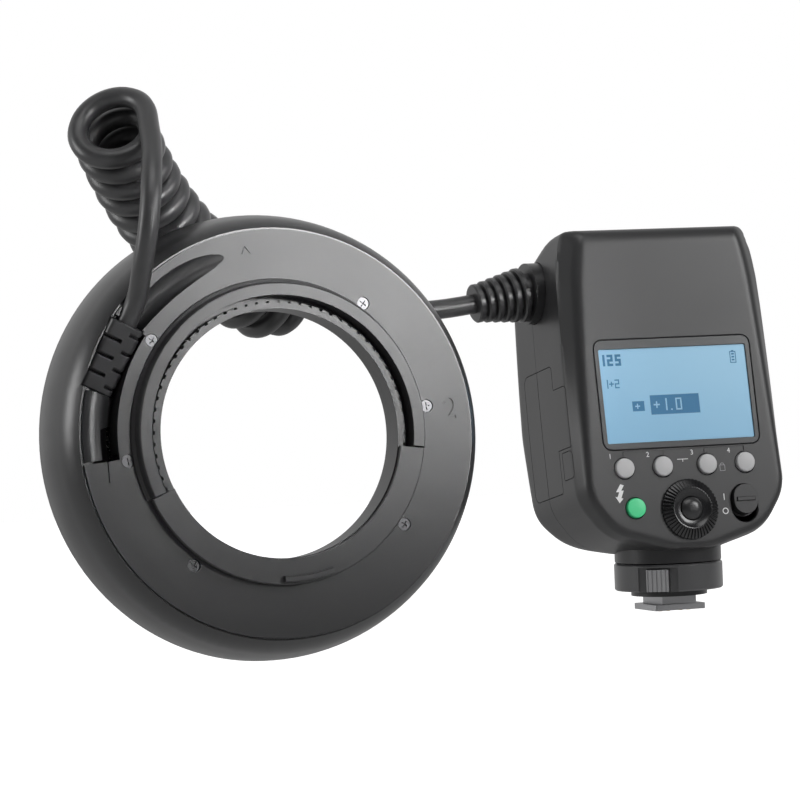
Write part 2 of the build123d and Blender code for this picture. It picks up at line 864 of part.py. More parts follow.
# Cord: the free stretches at the ring and at the controller
for stretch_name, stretch_points in (
    ("cord_ring_side", ring_side_points),
    ("cord_controller_side", controller_side_points),
):
    finished_stretch = cord_stretch(stretch_points)
    finished_stretch.part.label = stretch_name
    export_step(finished_stretch.part, "parts/" + stretch_name + ".step")
    print(stretch_name, "volume", round(finished_stretch.part.volume))

# Cord: the coil, one unbroken tube with a straight end at each side
with BuildPart() as curly_coil:
    with BuildLine() as coil_path:
        Line(coil_entry, curl_start)
        for arc_start, arc_middle, arc_end in curl_arcs:
            ThreePointArc(arc_start, arc_middle, arc_end)
        Line(coil_tail, coil_exit)
    with BuildSketch(Plane(origin=coil_entry, z_dir=curl_start_way)):
        Circle(cord_radius)
    sweep()
curly_coil.part.label = "curly_coil"
export_step(curly_coil.part, "parts/curly_coil.step")
cord_section = math.pi * cord_radius**2
coil_length = sum(edge.length for edge in coil_path.edges())
print("coil volume", round(curly_coil.part.volume))
print("coil section times length", round(cord_section * coil_length))

# Controller: the outline of the display face, the outline of the body behind its slanted cheeks,
# and the side outline. Each corner has its own radius.
face_corner_shares = [
    (0.237, 0.009, 0.526),
    (0.724, 0.061, 0.474),
    (0.947, 0.176, 0.368),
    (0.932, 0.356, 0.789),
    (0.874, 0.65, 0.789),
    (0.826, 0.89, 0.316),
    (0.75, 1, 0.079),
]
body_corner_shares = [
    (0.263, 0.004, 0.526),
    (0.763, 0.053, 0.526),
    (1.005, 0.167, 0.421),
    (1.005, 0.356, 0.789),
    (1, 0.65, 0.789),
    (0.974, 0.88, 0.316),
    (0.882, 1, 0.079),
]
bottom_front_round = 3.0
top_front_round = 5.0
top_back = 15.0
top_back_round = 10.0
shoulder_back = 43.0
shoulder_height = 108.0
shoulder_round = 10.0
hip_back = 37.0
hip_height = 58.0
hip_round = 30.0
heel_back = 24.0
heel_height = 16.4
heel_round = 20.0
face_slope = math.tan(lean)
side_corners = [
    (body_front_bottom * face_slope - face_start_back, body_front_bottom, bottom_front_round),
    (body_top * face_slope - face_start_back, body_top, top_front_round),
    (top_back, body_top, top_back_round),
    (shoulder_back, shoulder_height, shoulder_round),
    (hip_back, hip_height, hip_round),
    (heel_back, heel_height, heel_round),
]
rear_edge_round = 8.0
side_spare = 5.0
body_span = 2 * (body_half_width + side_spare)
rear_side_spare = 0.4
below_heel = 1.4
above_top = 5.0
heel_slope = (hip_back - heel_back) / (hip_height - heel_height)
top_slope = (shoulder_back - top_back) / (body_top - shoulder_height)
rear_levels = [
    (heel_back - heel_slope * below_heel, heel_height - below_heel),
    (hip_back, hip_height),
    (shoulder_back, shoulder_height),
    (top_back - top_slope * above_top, body_top + above_top),
]


def mirrored_outline(shares):
    """Closed outline and its radii from the right half's shares of the body's half width and height."""
    body_height = body_top - body_front_bottom
    right = []
    for sideways_share, height_share, round_share in shares:
        height = body_front_bottom + body_height * height_share
        right.append((body_half_width * sideways_share, along_face(height)))
    left = [(-sideways, height) for sideways, height in reversed(right)]
    radii = [body_half_width * round_share for sideways_share, height_share, round_share in shares]
    return right + left, radii + radii[::-1]


def housing_form(inset):
    """The controller's whole body, drawn in by this much on every side."""
    face_points, face_radii = mirrored_outline(face_corner_shares)
    body_points, body_radii = mirrored_outline(body_corner_shares)
    side_points = [(back, height) for back, height, radius in side_corners]
    side_radii = [radius for back, height, radius in side_corners]
    with BuildPart() as form:
        with BuildSketch(face_plane(inset)):
            with BuildLine():
                FilletPolyline(*face_points, radius=face_radii, close=True)
            make_face()
            offset(amount=-inset)
        with BuildSketch(face_plane(cheek_depth)):
            with BuildLine():
                FilletPolyline(*body_points, radius=body_radii, close=True)
            make_face()
            offset(amount=-inset)
        loft(ruled=True)
        with BuildSketch(face_plane(cheek_depth)):
            with BuildLine():
                FilletPolyline(*body_points, radius=body_radii, close=True)
            make_face()
            offset(amount=-inset)
        extrude(amount=-body_reach)
        with BuildSketch(Plane.YZ):
            with BuildLine():
                FilletPolyline(*side_points, radius=side_radii, close=True)
            make_face()
            offset(amount=-inset)
        extrude(amount=body_span / 2, both=True, mode=Mode.INTERSECT)
        for back, height in rear_levels:
            with BuildSketch(Plane.XY.offset(height)):
                with BuildLine():
                    side = body_half_width + rear_side_spare - inset
                    right = [(side, -body_reach), (side, back - inset)]
                    left = [(-side, back - inset), (-side, -body_reach)]
                    rounds = [0, rear_edge_round, rear_edge_round, 0]
                    FilletPolyline(*right, *left, radius=rounds, close=True)
                make_face()
        loft(ruled=True, mode=Mode.INTERSECT)
    return form


outer_form = housing_form(0)
inner_form = housing_form(wall)

# Controller: places of everything on the face, as sideways and height
window_side_margin = 9.25
window_half_width = body_half_width - window_side_margin
window_low = 55.3
window_high = 92.0
window_seat = 1.5
window_round = 3.0
panel_side_margin = 1.69
panel_half_width = window_half_width - panel_side_margin
panel_low = 57.4
panel_high = 88.9
panel_thickness = 7.5
panel_gap = 0.2
outer_button_sideways = 22.2
inner_button_sideways = 8.14
menu_button_height = 49.05
menu_button_places = [
    (-outer_button_sideways, menu_button_height),
    (-inner_button_sideways, menu_button_height),
    (inner_button_sideways, menu_button_height),
    (outer_button_sideways, menu_button_height),
]
menu_button_radius = 3.35
test_button_left = 19.6
test_button_height = 35.7
test_button_place = (-test_button_left, test_button_height)
test_button_radius = 3.3
button_gap = 0.15
button_rise = 1.2
button_flange_radius = 4.3
flange_gap = 0.1
flange_thickness = 1.0
button_stem_radius = 1.5
dial_height = 34.4
dial_radius = 10.3
dial_rise = 2.6
dial_gap = 0.15
dial_hub_radius = 6.0
dial_hub_clearance = 0.05
dial_flange_radius = 7.2
dial_rib_count = 48
dial_rib_depth = 0.45
dial_rib_width = 0.7
set_button_radius = 3.85
set_button_rise = 3.3
set_button_gap = 0.1
set_flange_radius = 4.7
set_flange_start = 1.4
set_flange_end = 2.4
set_pocket_depth = 1.2
stem_end = 7.7
set_pocket_radius = 4.9
switch_sideways = 20.4
switch_height = 35.4
switch_slot_width = 9.4
switch_slot_height = 12.8
knob_width = 8.9
knob_height = 10.1
knob_rise = 1.6
switch_flange_width = 10.8
switch_flange_height = 11.4
ridge_height = 1.4
ridge_width = 6.6
ridge_rise = 0.5
board_depth = 9.0
board_thickness = 1.6
board_side_spare = 8.0
board_half_width = body_half_width - board_side_spare
board_low = 27.0
board_high = 121.0
board_chamfer = 14.0
post_radius = 1.6
post_edge_gap = 1.5
post_sideways = board_half_width - post_edge_gap
post_low = 43.0
post_high = 110.0
post_places = [
    (-post_sideways, post_low),
    (post_sideways, post_low),
    (-post_sideways, post_high),
    (post_sideways, post_high),
]
post_base = 1.5

# Controller: the battery pack with its stepped end cap, and the latch beside it
pack_near = 16.4
pack_far = 41.0
pack_low = 43.7
pack_high = 86.8
cap_depth = 3.4
cap_inner_side = cap_depth - body_half_width
cap_step_near = 5.8
cap_step_low = 57.9
cap_step_high = 78.6
liner_thickness = 1.2
liner_setback = 0.4
liner_end_spare = 14.0
liner_floor = 2.0
cap_cut_side = cap_inner_side + liner_thickness
liner_near_end = cap_inner_side + liner_setback
liner_far_end = body_half_width - liner_end_spare
pack_inner_end = liner_far_end - liner_floor
latch_near = 5.6
latch_far = 14.2
latch_low = 47.6
latch_high = 57.0
latch_button_depth = 2.8
latch_button_gap = 0.2
latch_button_inner = latch_button_depth - body_half_width
latch_cut_side = latch_button_inner + latch_button_gap
latch_flange_inner = latch_button_inner + flange_thickness
latch_flange_spare = 0.9

# Controller: the boot's hole in the left wall, clamped between the two halves
boss_radius_outer = 10.4
boss_depth = 3.4
boss_inner_end = boss_depth - body_half_width
boss_gap = 0.1
collar_radius = 18.1
collar_bottom = 16.4
hub_top = 22.5
hub_flange_radius = 13.5
hub_flange_thickness = 2.0
hub_seat_radius = 15.0


def face_rectangle(half_width, low, high, spare=0):
    """Rectangle on a face plane from its half width and its two heights."""
    tall = along_face(high) - along_face(low)
    with Locations((0, (along_face(high) + along_face(low)) / 2)):
        Rectangle(2 * (half_width + spare), tall + 2 * spare)


def pack_outline(near, far, low, high, spare):
    """Rectangle on a side plane between two depths and two heights."""
    tall = along_face(high) - along_face(low)
    with Locations(((near + far) / 2, (along_face(high) + along_face(low)) / 2)):
        Rectangle(far - near + 2 * spare, tall + 2 * spare)


def cap_prism(spare, inner_side):
    """The stepped shape of the battery cap, run out through the left wall."""
    with BuildPart() as prism:
        with BuildSketch(side_plane(-body_span / 2)):
            pack_outline(pack_near - flange_gap, pack_far + flange_gap, pack_low, pack_high, spare)
            pack_outline(cap_step_near, pack_near + liner_thickness, cap_step_low, cap_step_high, spare)
        extrude(amount=body_span / 2 + inner_side)
    return prism


def latch_prism(spare, inner_side):
    """The latch button's block, run out through the left cheek."""
    with BuildPart() as prism:
        with BuildSketch(side_plane(-body_span / 2)):
            pack_outline(latch_near, latch_far, latch_low, latch_high, spare)
        extrude(amount=body_span / 2 + inner_side)
    return prism


boss_root = Vector(boss_inner_end, boss_centre_back, boss_centre_height)
boss_plane = Plane(origin=boss_root, x_dir=Vector(0, 1, 0), z_dir=across * -1)
boss_length = boss_inner_end - boss_outer_end
through = 4 * wall
cap_opening = cap_prism(0, cap_cut_side)
latch_opening = latch_prism(0, latch_cut_side)

# Controller: what both housing halves lose: the battery opening, the latch opening, the boot's
# hole and the hole for the foot's hub
with BuildPart() as shared_cuts:
    add(cap_opening.part)
    add(latch_opening.part)
    with BuildSketch(boss_plane):
        Circle(boss_radius_outer + boss_gap)
    extrude(amount=boss_length + wall)
    with BuildSketch(Plane.XY.offset(collar_bottom)):
        Circle(hub_radius + boss_gap)
    extrude(amount=hub_top + hub_flange_thickness - collar_bottom)

# Controller: the hollow inside the housing, with the level seat of the hub's flange left standing
with BuildPart() as hollow:
    add(inner_form.part)
    with BuildSketch(Plane.XY.offset(collar_bottom)):
        Circle(hub_seat_radius)
    extrude(amount=hub_top - collar_bottom, mode=Mode.SUBTRACT)

with BuildPart() as front_housing:
    add(outer_form.part)
    split(bisect_by=face_plane(parting_depth), keep=Keep.TOP)
    add(hollow.part, mode=Mode.SUBTRACT)
    with BuildSketch(face_plane(-wall)):
        with Locations((0, (along_face(window_low) + along_face(window_high)) / 2)):
            RectangleRounded(2 * window_half_width, along_face(window_high - window_low), window_round)
    extrude(amount=-(wall + window_seat), mode=Mode.SUBTRACT)
    with BuildSketch(face_plane(0)):
        face_rectangle(panel_half_width, panel_low, panel_high, panel_gap)
        for sideways, height in menu_button_places:
            with Locations((sideways, along_face(height))):
                Circle(menu_button_radius + button_gap)
        with Locations((test_button_place[0], along_face(test_button_place[1]))):
            Circle(test_button_radius + button_gap)
        with Locations((0, along_face(dial_height))):
            Circle(dial_hub_radius + dial_hub_clearance)
        with Locations((switch_sideways, along_face(switch_height))):
            SlotOverall(switch_slot_height, switch_slot_width, rotation=90)
    extrude(amount=-through, mode=Mode.SUBTRACT)
    with BuildSketch(face_plane(board_depth)):
        for sideways, height in post_places:
            with Locations((sideways, along_face(height))):
                Circle(post_radius)
    extrude(amount=board_depth - post_base)
    add(shared_cuts.part, mode=Mode.SUBTRACT)
front_housing.part.label = "front_housing"
export_step(front_housing.part, "parts/front_housing.step")

with BuildPart() as rear_housing:
    add(outer_form.part)
    split(bisect_by=face_plane(parting_depth), keep=Keep.BOTTOM)
    add(hollow.part, mode=Mode.SUBTRACT)
    add(shared_cuts.part, mode=Mode.SUBTRACT)
rear_housing.part.label = "rear_housing"
export_step(rear_housing.part, "parts/rear_housing.step")

# Controller: display window and the display module behind it
with BuildPart() as display_window:
    with BuildSketch(face_plane(0)):
        with Locations((0, (along_face(window_low) + along_face(window_high)) / 2)):
            RectangleRounded(2 * window_half_width, along_face(window_high - window_low), window_round)
    extrude(amount=-window_seat)
display_window.part.label = "display_window"
export_step(display_window.part, "parts/display_window.step")

with BuildPart() as lcd_panel:
    with BuildSketch(face_plane(window_seat)):
        face_rectangle(panel_half_width, panel_low, panel_high)
    extrude(amount=-panel_thickness)
lcd_panel.part.label = "lcd_panel"
export_step(lcd_panel.part, "parts/lcd_panel.step")

# Controller: the main board on its four posts
with BuildPart() as main_board:
    with BuildSketch(face_plane(board_depth)):
        Polygon(
            (-board_half_width + board_chamfer, along_face(board_low)),
            (board_half_width - board_chamfer, along_face(board_low)),
            (board_half_width, along_face(board_low) + board_chamfer),
            (board_half_width, along_face(board_high)),
            (-board_half_width, along_face(board_high)),
            (-board_half_width, along_face(board_low) + board_chamfer),
            align=None,
        )
    extrude(amount=-board_thickness)
main_board.part.label = "main_board"
export_step(main_board.part, "parts/main_board.step")

# Controller: the flash capacitor, lying behind the board's upper end
capacitor_radius = 11.0
capacitor_start = -25.0
capacitor_length = 52.0
capacitor_height = 103.0

with BuildPart() as flash_capacitor:
    with BuildSketch(side_plane(capacitor_start)):
        with Locations((board_depth + board_thickness + capacitor_radius, along_face(capacitor_height))):
            Circle(capacitor_radius)
    extrude(amount=capacitor_length)
flash_capacitor.part.label = "flash_capacitor"
export_step(flash_capacitor.part, "parts/flash_capacitor.step")

# Controller: the four display buttons and the test button, each held by a flange behind the wall
button_crown = 0.3


def push_button(place, radius):
    """Round button with a flange behind the wall and a stem towards the board."""
    sideways, height = place
    with BuildPart() as button:
        with BuildSketch(face_plane(wall + flange_gap)):
            with Locations((sideways, along_face(height))):
                Circle(radius)
        extrude(amount=wall + flange_gap + button_rise)
        chamfer(button.faces().sort_by(Axis(face_origin, outward))[-1].edges(), button_crown)
        with BuildSketch(face_plane(wall + flange_gap)):
            with Locations((sideways, along_face(height))):
                Circle(button_flange_radius)
        extrude(amount=-flange_thickness)
        with BuildSketch(face_plane(wall)):
            with Locations((sideways, along_face(height))):
                Circle(button_stem_radius)
        extrude(amount=wall - stem_end)
    return button


for number, place in enumerate(menu_button_places, start=1):
    finished_button = push_button(place, menu_button_radius)
    finished_button.part.label = "menu_button_" + str(number)
    export_step(finished_button.part, "parts/menu_button_" + str(number) + ".step")

test_button = push_button(test_button_place, test_button_radius)
test_button.part.label = "test_button"
export_step(test_button.part, "parts/test_button.step")

# Controller: the ribbed dial on its hub, the encoder behind it and the button in its middle
with BuildPart() as control_dial:
    with BuildSketch(face_plane(-dial_gap)):
        with Locations((0, along_face(dial_height))):
            Circle(dial_radius)
    extrude(amount=dial_rise - dial_gap)
    chamfer(control_dial.faces().sort_by(Axis(face_origin, outward))[-1].edges(), dial_rib_width)
    with BuildSketch(face_plane(-dial_rise)):
        with Locations((0, along_face(dial_height))):
            with PolarLocations(dial_radius, dial_rib_count):
                Rectangle(2 * dial_rib_depth, dial_rib_width)
    extrude(amount=-dial_rise, mode=Mode.SUBTRACT)
    with BuildSketch(face_plane(-dial_gap)):
        with Locations((0, along_face(dial_height))):
            Circle(dial_hub_radius)
    extrude(amount=-(wall + flange_gap + dial_gap))
    with BuildSketch(face_plane(wall + flange_gap)):
        with Locations((0, along_face(dial_height))):
            Circle(dial_flange_radius)
    extrude(amount=-flange_thickness)
    with BuildSketch(face_plane(-dial_rise)):
        with Locations((0, along_face(dial_height))):
            Circle(set_button_radius + set_button_gap)
    extrude(amount=-through, mode=Mode.SUBTRACT)
    with BuildSketch(face_plane(set_pocket_depth)):
        with Locations((0, along_face(dial_height))):
            Circle(set_pocket_radius)
    extrude(amount=-through, mode=Mode.SUBTRACT)
control_dial.part.label = "control_dial"
export_step(control_dial.part, "parts/control_dial.step")

with BuildPart() as set_button:
    with BuildSketch(face_plane(set_flange_start)):
        with Locations((0, along_face(dial_height))):
            Circle(set_button_radius)
    extrude(amount=set_flange_start + set_button_rise)
    chamfer(set_button.faces().sort_by(Axis(face_origin, outward))[-1].edges(), button_crown)
    with BuildSketch(face_plane(set_flange_start)):
        with Locations((0, along_face(dial_height))):
            Circle(set_flange_radius)
    extrude(amount=set_flange_start - set_flange_end)
    with BuildSketch(face_plane(set_flange_start)):
        with Locations((0, along_face(dial_height))):
            Circle(button_stem_radius)
    extrude(amount=set_flange_start - stem_end)
set_button.part.label = "set_button"
export_step(set_button.part, "parts/set_button.step")

encoder_start = 4.6
encoder_radius = 8.0
encoder_hole_radius = 2.0

with BuildPart() as dial_encoder:
    with BuildSketch(face_plane(encoder_start)):
        with Locations((0, along_face(dial_height))):
            Circle(encoder_radius)
            Circle(encoder_hole_radius, mode=Mode.SUBTRACT)
    extrude(amount=encoder_start - board_depth)
dial_encoder.part.label = "dial_encoder"
export_step(dial_encoder.part, "parts/dial_encoder.step")

# Controller: the slide switch at the top of its slot
knob_up = along_face(switch_height) + (switch_slot_height - knob_height) / 2 - flange_gap

with BuildPart() as slide_switch:
    with BuildSketch(face_plane(wall + flange_gap)):
        with Locations((switch_sideways, knob_up)):
            SlotOverall(knob_height, knob_width, rotation=90)
    extrude(amount=wall + flange_gap + knob_rise)
    with BuildSketch(face_plane(-knob_rise)):
        with Locations((switch_sideways, knob_up)):
            Rectangle(ridge_width, ridge_height)
    extrude(amount=ridge_rise)
    with BuildSketch(face_plane(wall + flange_gap)):
        with Locations((switch_sideways, knob_up)):
            SlotOverall(switch_flange_height, switch_flange_width, rotation=90)
    extrude(amount=-flange_thickness)
slide_switch.part.label = "slide_switch"
export_step(slide_switch.part, "parts/slide_switch.step")

# Controller: the battery pack slides out to the left in its liner; its cap is flush with the wall
with BuildPart() as cap_body:
    add(outer_form.part)
    add(cap_prism(-fit_gap, cap_inner_side).part, mode=Mode.INTERSECT)
    with BuildSketch(Plane.YZ.offset(-body_half_width * 2)):
        with Locations((0, body_top / 2)):
            Rectangle(4 * body_half_width, 2 * body_top)
    extrude(amount=2 * body_half_width + cap_inner_side, mode=Mode.INTERSECT)

with BuildPart() as battery_pack:
    add(cap_body.part)
    with BuildSketch(side_plane(cap_inner_side)):
        pack_outline(pack_near, pack_far, pack_low, pack_high, -fit_gap)
    extrude(amount=pack_inner_end - cap_inner_side)
battery_pack.part.label = "battery_pack"
export_step(battery_pack.part, "parts/battery_pack.step")

with BuildPart() as battery_liner:
    with BuildSketch(side_plane(liner_near_end)):
        pack_outline(pack_near, pack_far, pack_low, pack_high, liner_thickness)
    extrude(amount=liner_far_end - liner_near_end)
    with BuildSketch(side_plane(liner_near_end)):
        pack_outline(pack_near, pack_far, pack_low, pack_high, 0)
    extrude(amount=pack_inner_end - liner_near_end + fit_gap, mode=Mode.SUBTRACT)
battery_liner.part.label = "battery_liner"
export_step(battery_liner.part, "parts/battery_liner.step")

with BuildPart() as battery_latch:
    add(outer_form.part)
    add(latch_prism(-fit_gap, latch_button_inner).part, mode=Mode.INTERSECT)
    with BuildSketch(side_plane(latch_button_inner)):
        pack_outline(latch_near, latch_far, latch_low, latch_high, latch_flange_spare - fit_gap)
    extrude(amount=latch_flange_inner - latch_button_inner)
battery_latch.part.label = "battery_latch"
export_step(battery_latch.part, "parts/battery_latch.step")

# Controller: the ribbed boot of the cord, with the flange that the two housing halves clamp
rib_count = 5
tip_block_length = 1.9
tip_block_radius = 6.6
rib_gap = 1.3
rib_thickness = 1.8
first_rib_radius = 7.1
last_rib_radius = 9.3
first_core_radius = 4.8
last_core_radius = 7.0
rib_crown = 0.5
boot_ribs = [(0, 0), (tip_block_radius - rib_crown, 0), (tip_block_radius, rib_crown)]
boot_ribs.append((tip_block_radius, tip_block_length))
boot_reach = tip_block_length
for rib in range(rib_count):
    rib_share = rib / (rib_count - 1)
    core = first_core_radius + (last_core_radius - first_core_radius) * rib_share
    outer = first_rib_radius + (last_rib_radius - first_rib_radius) * rib_share
    boot_ribs += [(core, boot_reach), (core, boot_reach + rib_gap)]
    boot_ribs += [(outer - rib_crown, boot_reach + rib_gap), (outer, boot_reach + rib_gap + rib_crown)]
    boot_reach += rib_gap + rib_thickness
    boot_ribs.append((outer, boot_reach))
boot_length = boot_run + wall
boot_ribs += [(last_core_radius, boot_reach), (last_core_radius, boot_length), (0, boot_length)]
backward = Vector(0, 1, 0)
boot_section = Plane(origin=controller_boot_tip, x_dir=backward, z_dir=backward.cross(controller_boot_way))
controller_boot_axis = Axis(controller_boot_tip, controller_boot_way)

with BuildPart() as controller_boot:
    with BuildSketch(boot_section):
        Polygon(*boot_ribs, align=None)
    revolve(axis=controller_boot_axis)
    with BuildSketch(boss_plane):
        Circle(boss_radius_outer)
    extrude(amount=boss_length)
controller_boot.part.label = "controller_boot"
export_step(controller_boot.part, "parts/controller_boot.step")

# Foot: the fixed collar under the body, the hub and the metal shoe foot screwed to it
hub_rim_radius = 12.9
hub_rim_bottom = 4.9
hub_rim_top = 6.5
hub_bore_radius = 8.5
hub_bore_floor = 10.0
neck_width = 12.5
neck_length = 16.0
pin_radius = 1.0
pin_forward = -6.4
pin_clearance = 0.05
pin_bottom = 0.2
pin_top = 7.6
pin_pocket_top = 9.4
outer_contact_sideways = 5.2
inner_contact_sideways = 2.3
contact_forward = -3.6
contact_places = [
    (-outer_contact_sideways, contact_forward),
    (-inner_contact_sideways, contact_forward),
    (inner_contact_sideways, contact_forward),
    (outer_contact_sideways, contact_forward),
]
contact_radius = 0.7
middle_contact_radius = 1.2
contact_drop = 0.5
contact_clearance = 0.1
carrier_width = 12.4
carrier_length = 5.6
carrier_forward = -1.8
carrier_bottom = 5.5
carrier_thickness = 1.0
carrier_gap = 0.2
carrier_pocket_top = 7.2
foot_screw_sideways = 4.6
foot_screw_along = 6.3
foot_screw_places = [
    (-foot_screw_sideways, -foot_screw_along),
    (foot_screw_sideways, -foot_screw_along),
    (-foot_screw_sideways, foot_screw_along),
    (foot_screw_sideways, foot_screw_along),
]
foot_screw_head_radius = 1.5
foot_screw_radius = 0.8
foot_screw_length = 7.6
foot_screw_clearance = 0.05
foot_corner = 0.8

with BuildPart() as foot_collar:
    with BuildSketch(Plane.XY.offset(collar_bottom)):
        Circle(collar_radius)
        Circle(hub_radius + boss_gap, mode=Mode.SUBTRACT)
    extrude(amount=hub_top - collar_bottom)
    add(outer_form.part, mode=Mode.SUBTRACT)
    split(bisect_by=Plane.XY.offset(hub_top - ring_edge), keep=Keep.BOTTOM)
foot_collar.part.label = "foot_collar"
export_step(foot_collar.part, "parts/foot_collar.step")

with BuildPart() as foot_hub:
    with BuildSketch(Plane.XY.offset(hub_rim_bottom)):
        Circle(hub_rim_radius)
    extrude(amount=hub_rim_top - hub_rim_bottom)
    with BuildSketch(Plane.XY.offset(hub_rim_top)):
        Circle(hub_radius)
    extrude(amount=hub_top - hub_rim_top)
    with BuildSketch(Plane.XY.offset(hub_top)):
        Circle(hub_flange_radius)
    extrude(amount=hub_flange_thickness)
    with BuildSketch(Plane.XY.offset(hub_bore_floor)):
        Circle(hub_bore_radius)
    extrude(amount=hub_top + hub_flange_thickness - hub_bore_floor, mode=Mode.SUBTRACT)
    with BuildSketch(Plane.XY.offset(hub_rim_bottom)):
        with Locations((0, carrier_forward)):
            Rectangle(carrier_width + 2 * carrier_gap, carrier_length + 2 * carrier_gap)
    extrude(amount=carrier_pocket_top - hub_rim_bottom, mode=Mode.SUBTRACT)
    with BuildSketch(Plane.XY.offset(hub_rim_bottom)):
        with Locations((0, pin_forward)):
            Circle(pin_radius + pin_clearance)
    extrude(amount=pin_pocket_top - hub_rim_bottom, mode=Mode.SUBTRACT)
    with BuildSketch(Plane.XY.offset(hub_rim_bottom)):
        with Locations(*foot_screw_places):
            Circle(foot_screw_radius + foot_screw_clearance)
    extrude(amount=foot_screw_length - hub_rim_bottom + carrier_gap, mode=Mode.SUBTRACT)
foot_hub.part.label = "foot_hub"
export_step(foot_hub.part, "parts/foot_hub.step")

with BuildPart() as shoe_foot:
    with BuildSketch():
        RectangleRounded(foot_width, foot_length, foot_corner)
    extrude(amount=foot_thickness)
    with BuildSketch(Plane.XY.offset(foot_thickness)):
        Rectangle(neck_width, neck_length)
    extrude(amount=hub_rim_bottom - foot_thickness)
    with BuildSketch():
        with Locations(*contact_places):
            Circle(contact_radius + contact_clearance)
        Circle(middle_contact_radius + contact_clearance)
        with Locations((0, pin_forward)):
            Circle(pin_radius + pin_clearance)
        with Locations(*foot_screw_places):
            Circle(foot_screw_radius + foot_screw_clearance)
    extrude(amount=hub_rim_bottom, mode=Mode.SUBTRACT)
    with BuildSketch():
        with Locations(*foot_screw_places):
            Circle(foot_screw_head_radius + foot_screw_clearance)
    extrude(amount=foot_thickness / 2, mode=Mode.SUBTRACT)
shoe_foot.part.label = "shoe_foot"
export_step(shoe_foot.part, "parts/shoe_foot.step")

with BuildPart() as shoe_screws:
    with BuildSketch():
        with Locations(*foot_screw_places):
            Circle(foot_screw_head_radius)
    extrude(amount=foot_thickness / 2)
    with BuildSketch(Plane.XY.offset(foot_thickness / 2)):
        with Locations(*foot_screw_places):
            Circle(foot_screw_radius)
    extrude(amount=foot_screw_length - foot_thickness / 2)
shoe_screws.part.label = "shoe_screws"
export_step(shoe_screws.part, "parts/shoe_screws.step")

with BuildPart() as contact_pins:
    with BuildSketch(Plane.XY.offset(-contact_drop)):
        with Locations(*contact_places):
            Circle(contact_radius)
        Circle(middle_contact_radius)
    extrude(amount=carrier_bottom + contact_drop)
    with BuildSketch(Plane.XY.offset(carrier_bottom)):
        with Locations((0, carrier_forward)):
            Rectangle(carrier_width, carrier_length)
    extrude(amount=carrier_thickness)
contact_pins.part.label = "contact_pins"
export_step(contact_pins.part, "parts/contact_pins.step")

with BuildPart() as locking_pin:
    with BuildSketch(Plane.XY.offset(pin_bottom)):
        with Locations((0, pin_forward)):
            Circle(pin_radius)
    extrude(amount=pin_top - pin_bottom)
locking_pin.part.label = "locking_pin"
export_step(locking_pin.part, "parts/locking_pin.step")

# Foot: the lock ring with the recess of its release button, at the left of the front
release_angle = -126.0
release_width = 7.6
release_bottom = 7.0
release_top = 14.4
release_inner = 14.8
release_outer = 18.7
release_gap = 0.15
recess_width = 13.5
recess_top = 15.0
recess_floor = 16.8
release_groove_count = 5
release_groove_width = 0.6
release_groove_depth = 0.5
release_plane = Plane(
    origin=(0, 0, release_bottom),
    x_dir=Vector(math.cos(math.radians(release_angle)), math.sin(math.radians(release_angle)), 0),
    z_dir=(0, 0, 1),
)

with BuildPart() as lock_ring:
    with BuildSketch(Plane.XY.offset(lock_ring_bottom)):
        Circle(lock_ring_radius)
    extrude(amount=lock_ring_top - lock_ring_bottom)
    chamfer(lock_ring.edges().group_by(Axis.Z)[0] + lock_ring.edges().group_by(Axis.Z)[-1], ring_edge)
    with BuildSketch(Plane.XY.offset(lock_ring_bottom)):
        Circle(hub_radius + hub_clearance)
    extrude(amount=lock_ring_top - lock_ring_bottom, mode=Mode.SUBTRACT)
    with BuildSketch(release_plane.offset(lock_ring_bottom - release_bottom)):
        with Locations(((recess_floor + release_outer + wall) / 2, 0)):
            Rectangle(release_outer + wall - recess_floor, recess_width)
    extrude(amount=recess_top - lock_ring_bottom, mode=Mode.SUBTRACT)
    with BuildSketch(release_plane.offset(lock_ring_bottom - release_bottom)):
        with Locations(((hub_rim_radius - release_gap + release_outer) / 2, 0)):
            Rectangle(release_outer - hub_rim_radius + release_gap, release_width + 2 * release_gap)
    extrude(amount=release_top + release_gap - lock_ring_bottom, mode=Mode.SUBTRACT)
lock_ring.part.label = "lock_ring"
export_step(lock_ring.part, "parts/lock_ring.step")

with BuildPart() as lock_release:
    with BuildSketch(release_plane):
        with Locations(((release_inner + release_outer) / 2, 0)):
            Rectangle(release_outer - release_inner, release_width)
        with Locations((release_outer, 0)):
            with GridLocations(0, release_width / release_groove_count, 1, release_groove_count):
                Rectangle(2 * release_groove_depth, release_groove_width, mode=Mode.SUBTRACT)
    extrude(amount=release_top - release_bottom)
lock_release.part.label = "lock_release"
export_step(lock_release.part, "parts/lock_release.step")
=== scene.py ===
# %% [markdown]
# This lesson dresses a macro ring flash: a ring-shaped flash head that sits round a camera lens, a curly
# cord, and a controller that slides into the camera's hot shoe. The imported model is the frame. It gives
# every piece its real place, and this script gives it its surface, so nothing here is fitted by eye to
# something that the frame already knows. Lengths are written in millimetres and become metres by one factor,
# +Z is up, and the display faces -Y.

# %% Load the frame
import json
from math import acos, atan2, copysign, cos, degrees, pi, radians, sin, tan
import bmesh
import bpy
import numpy as np
from mathutils import Matrix, Vector


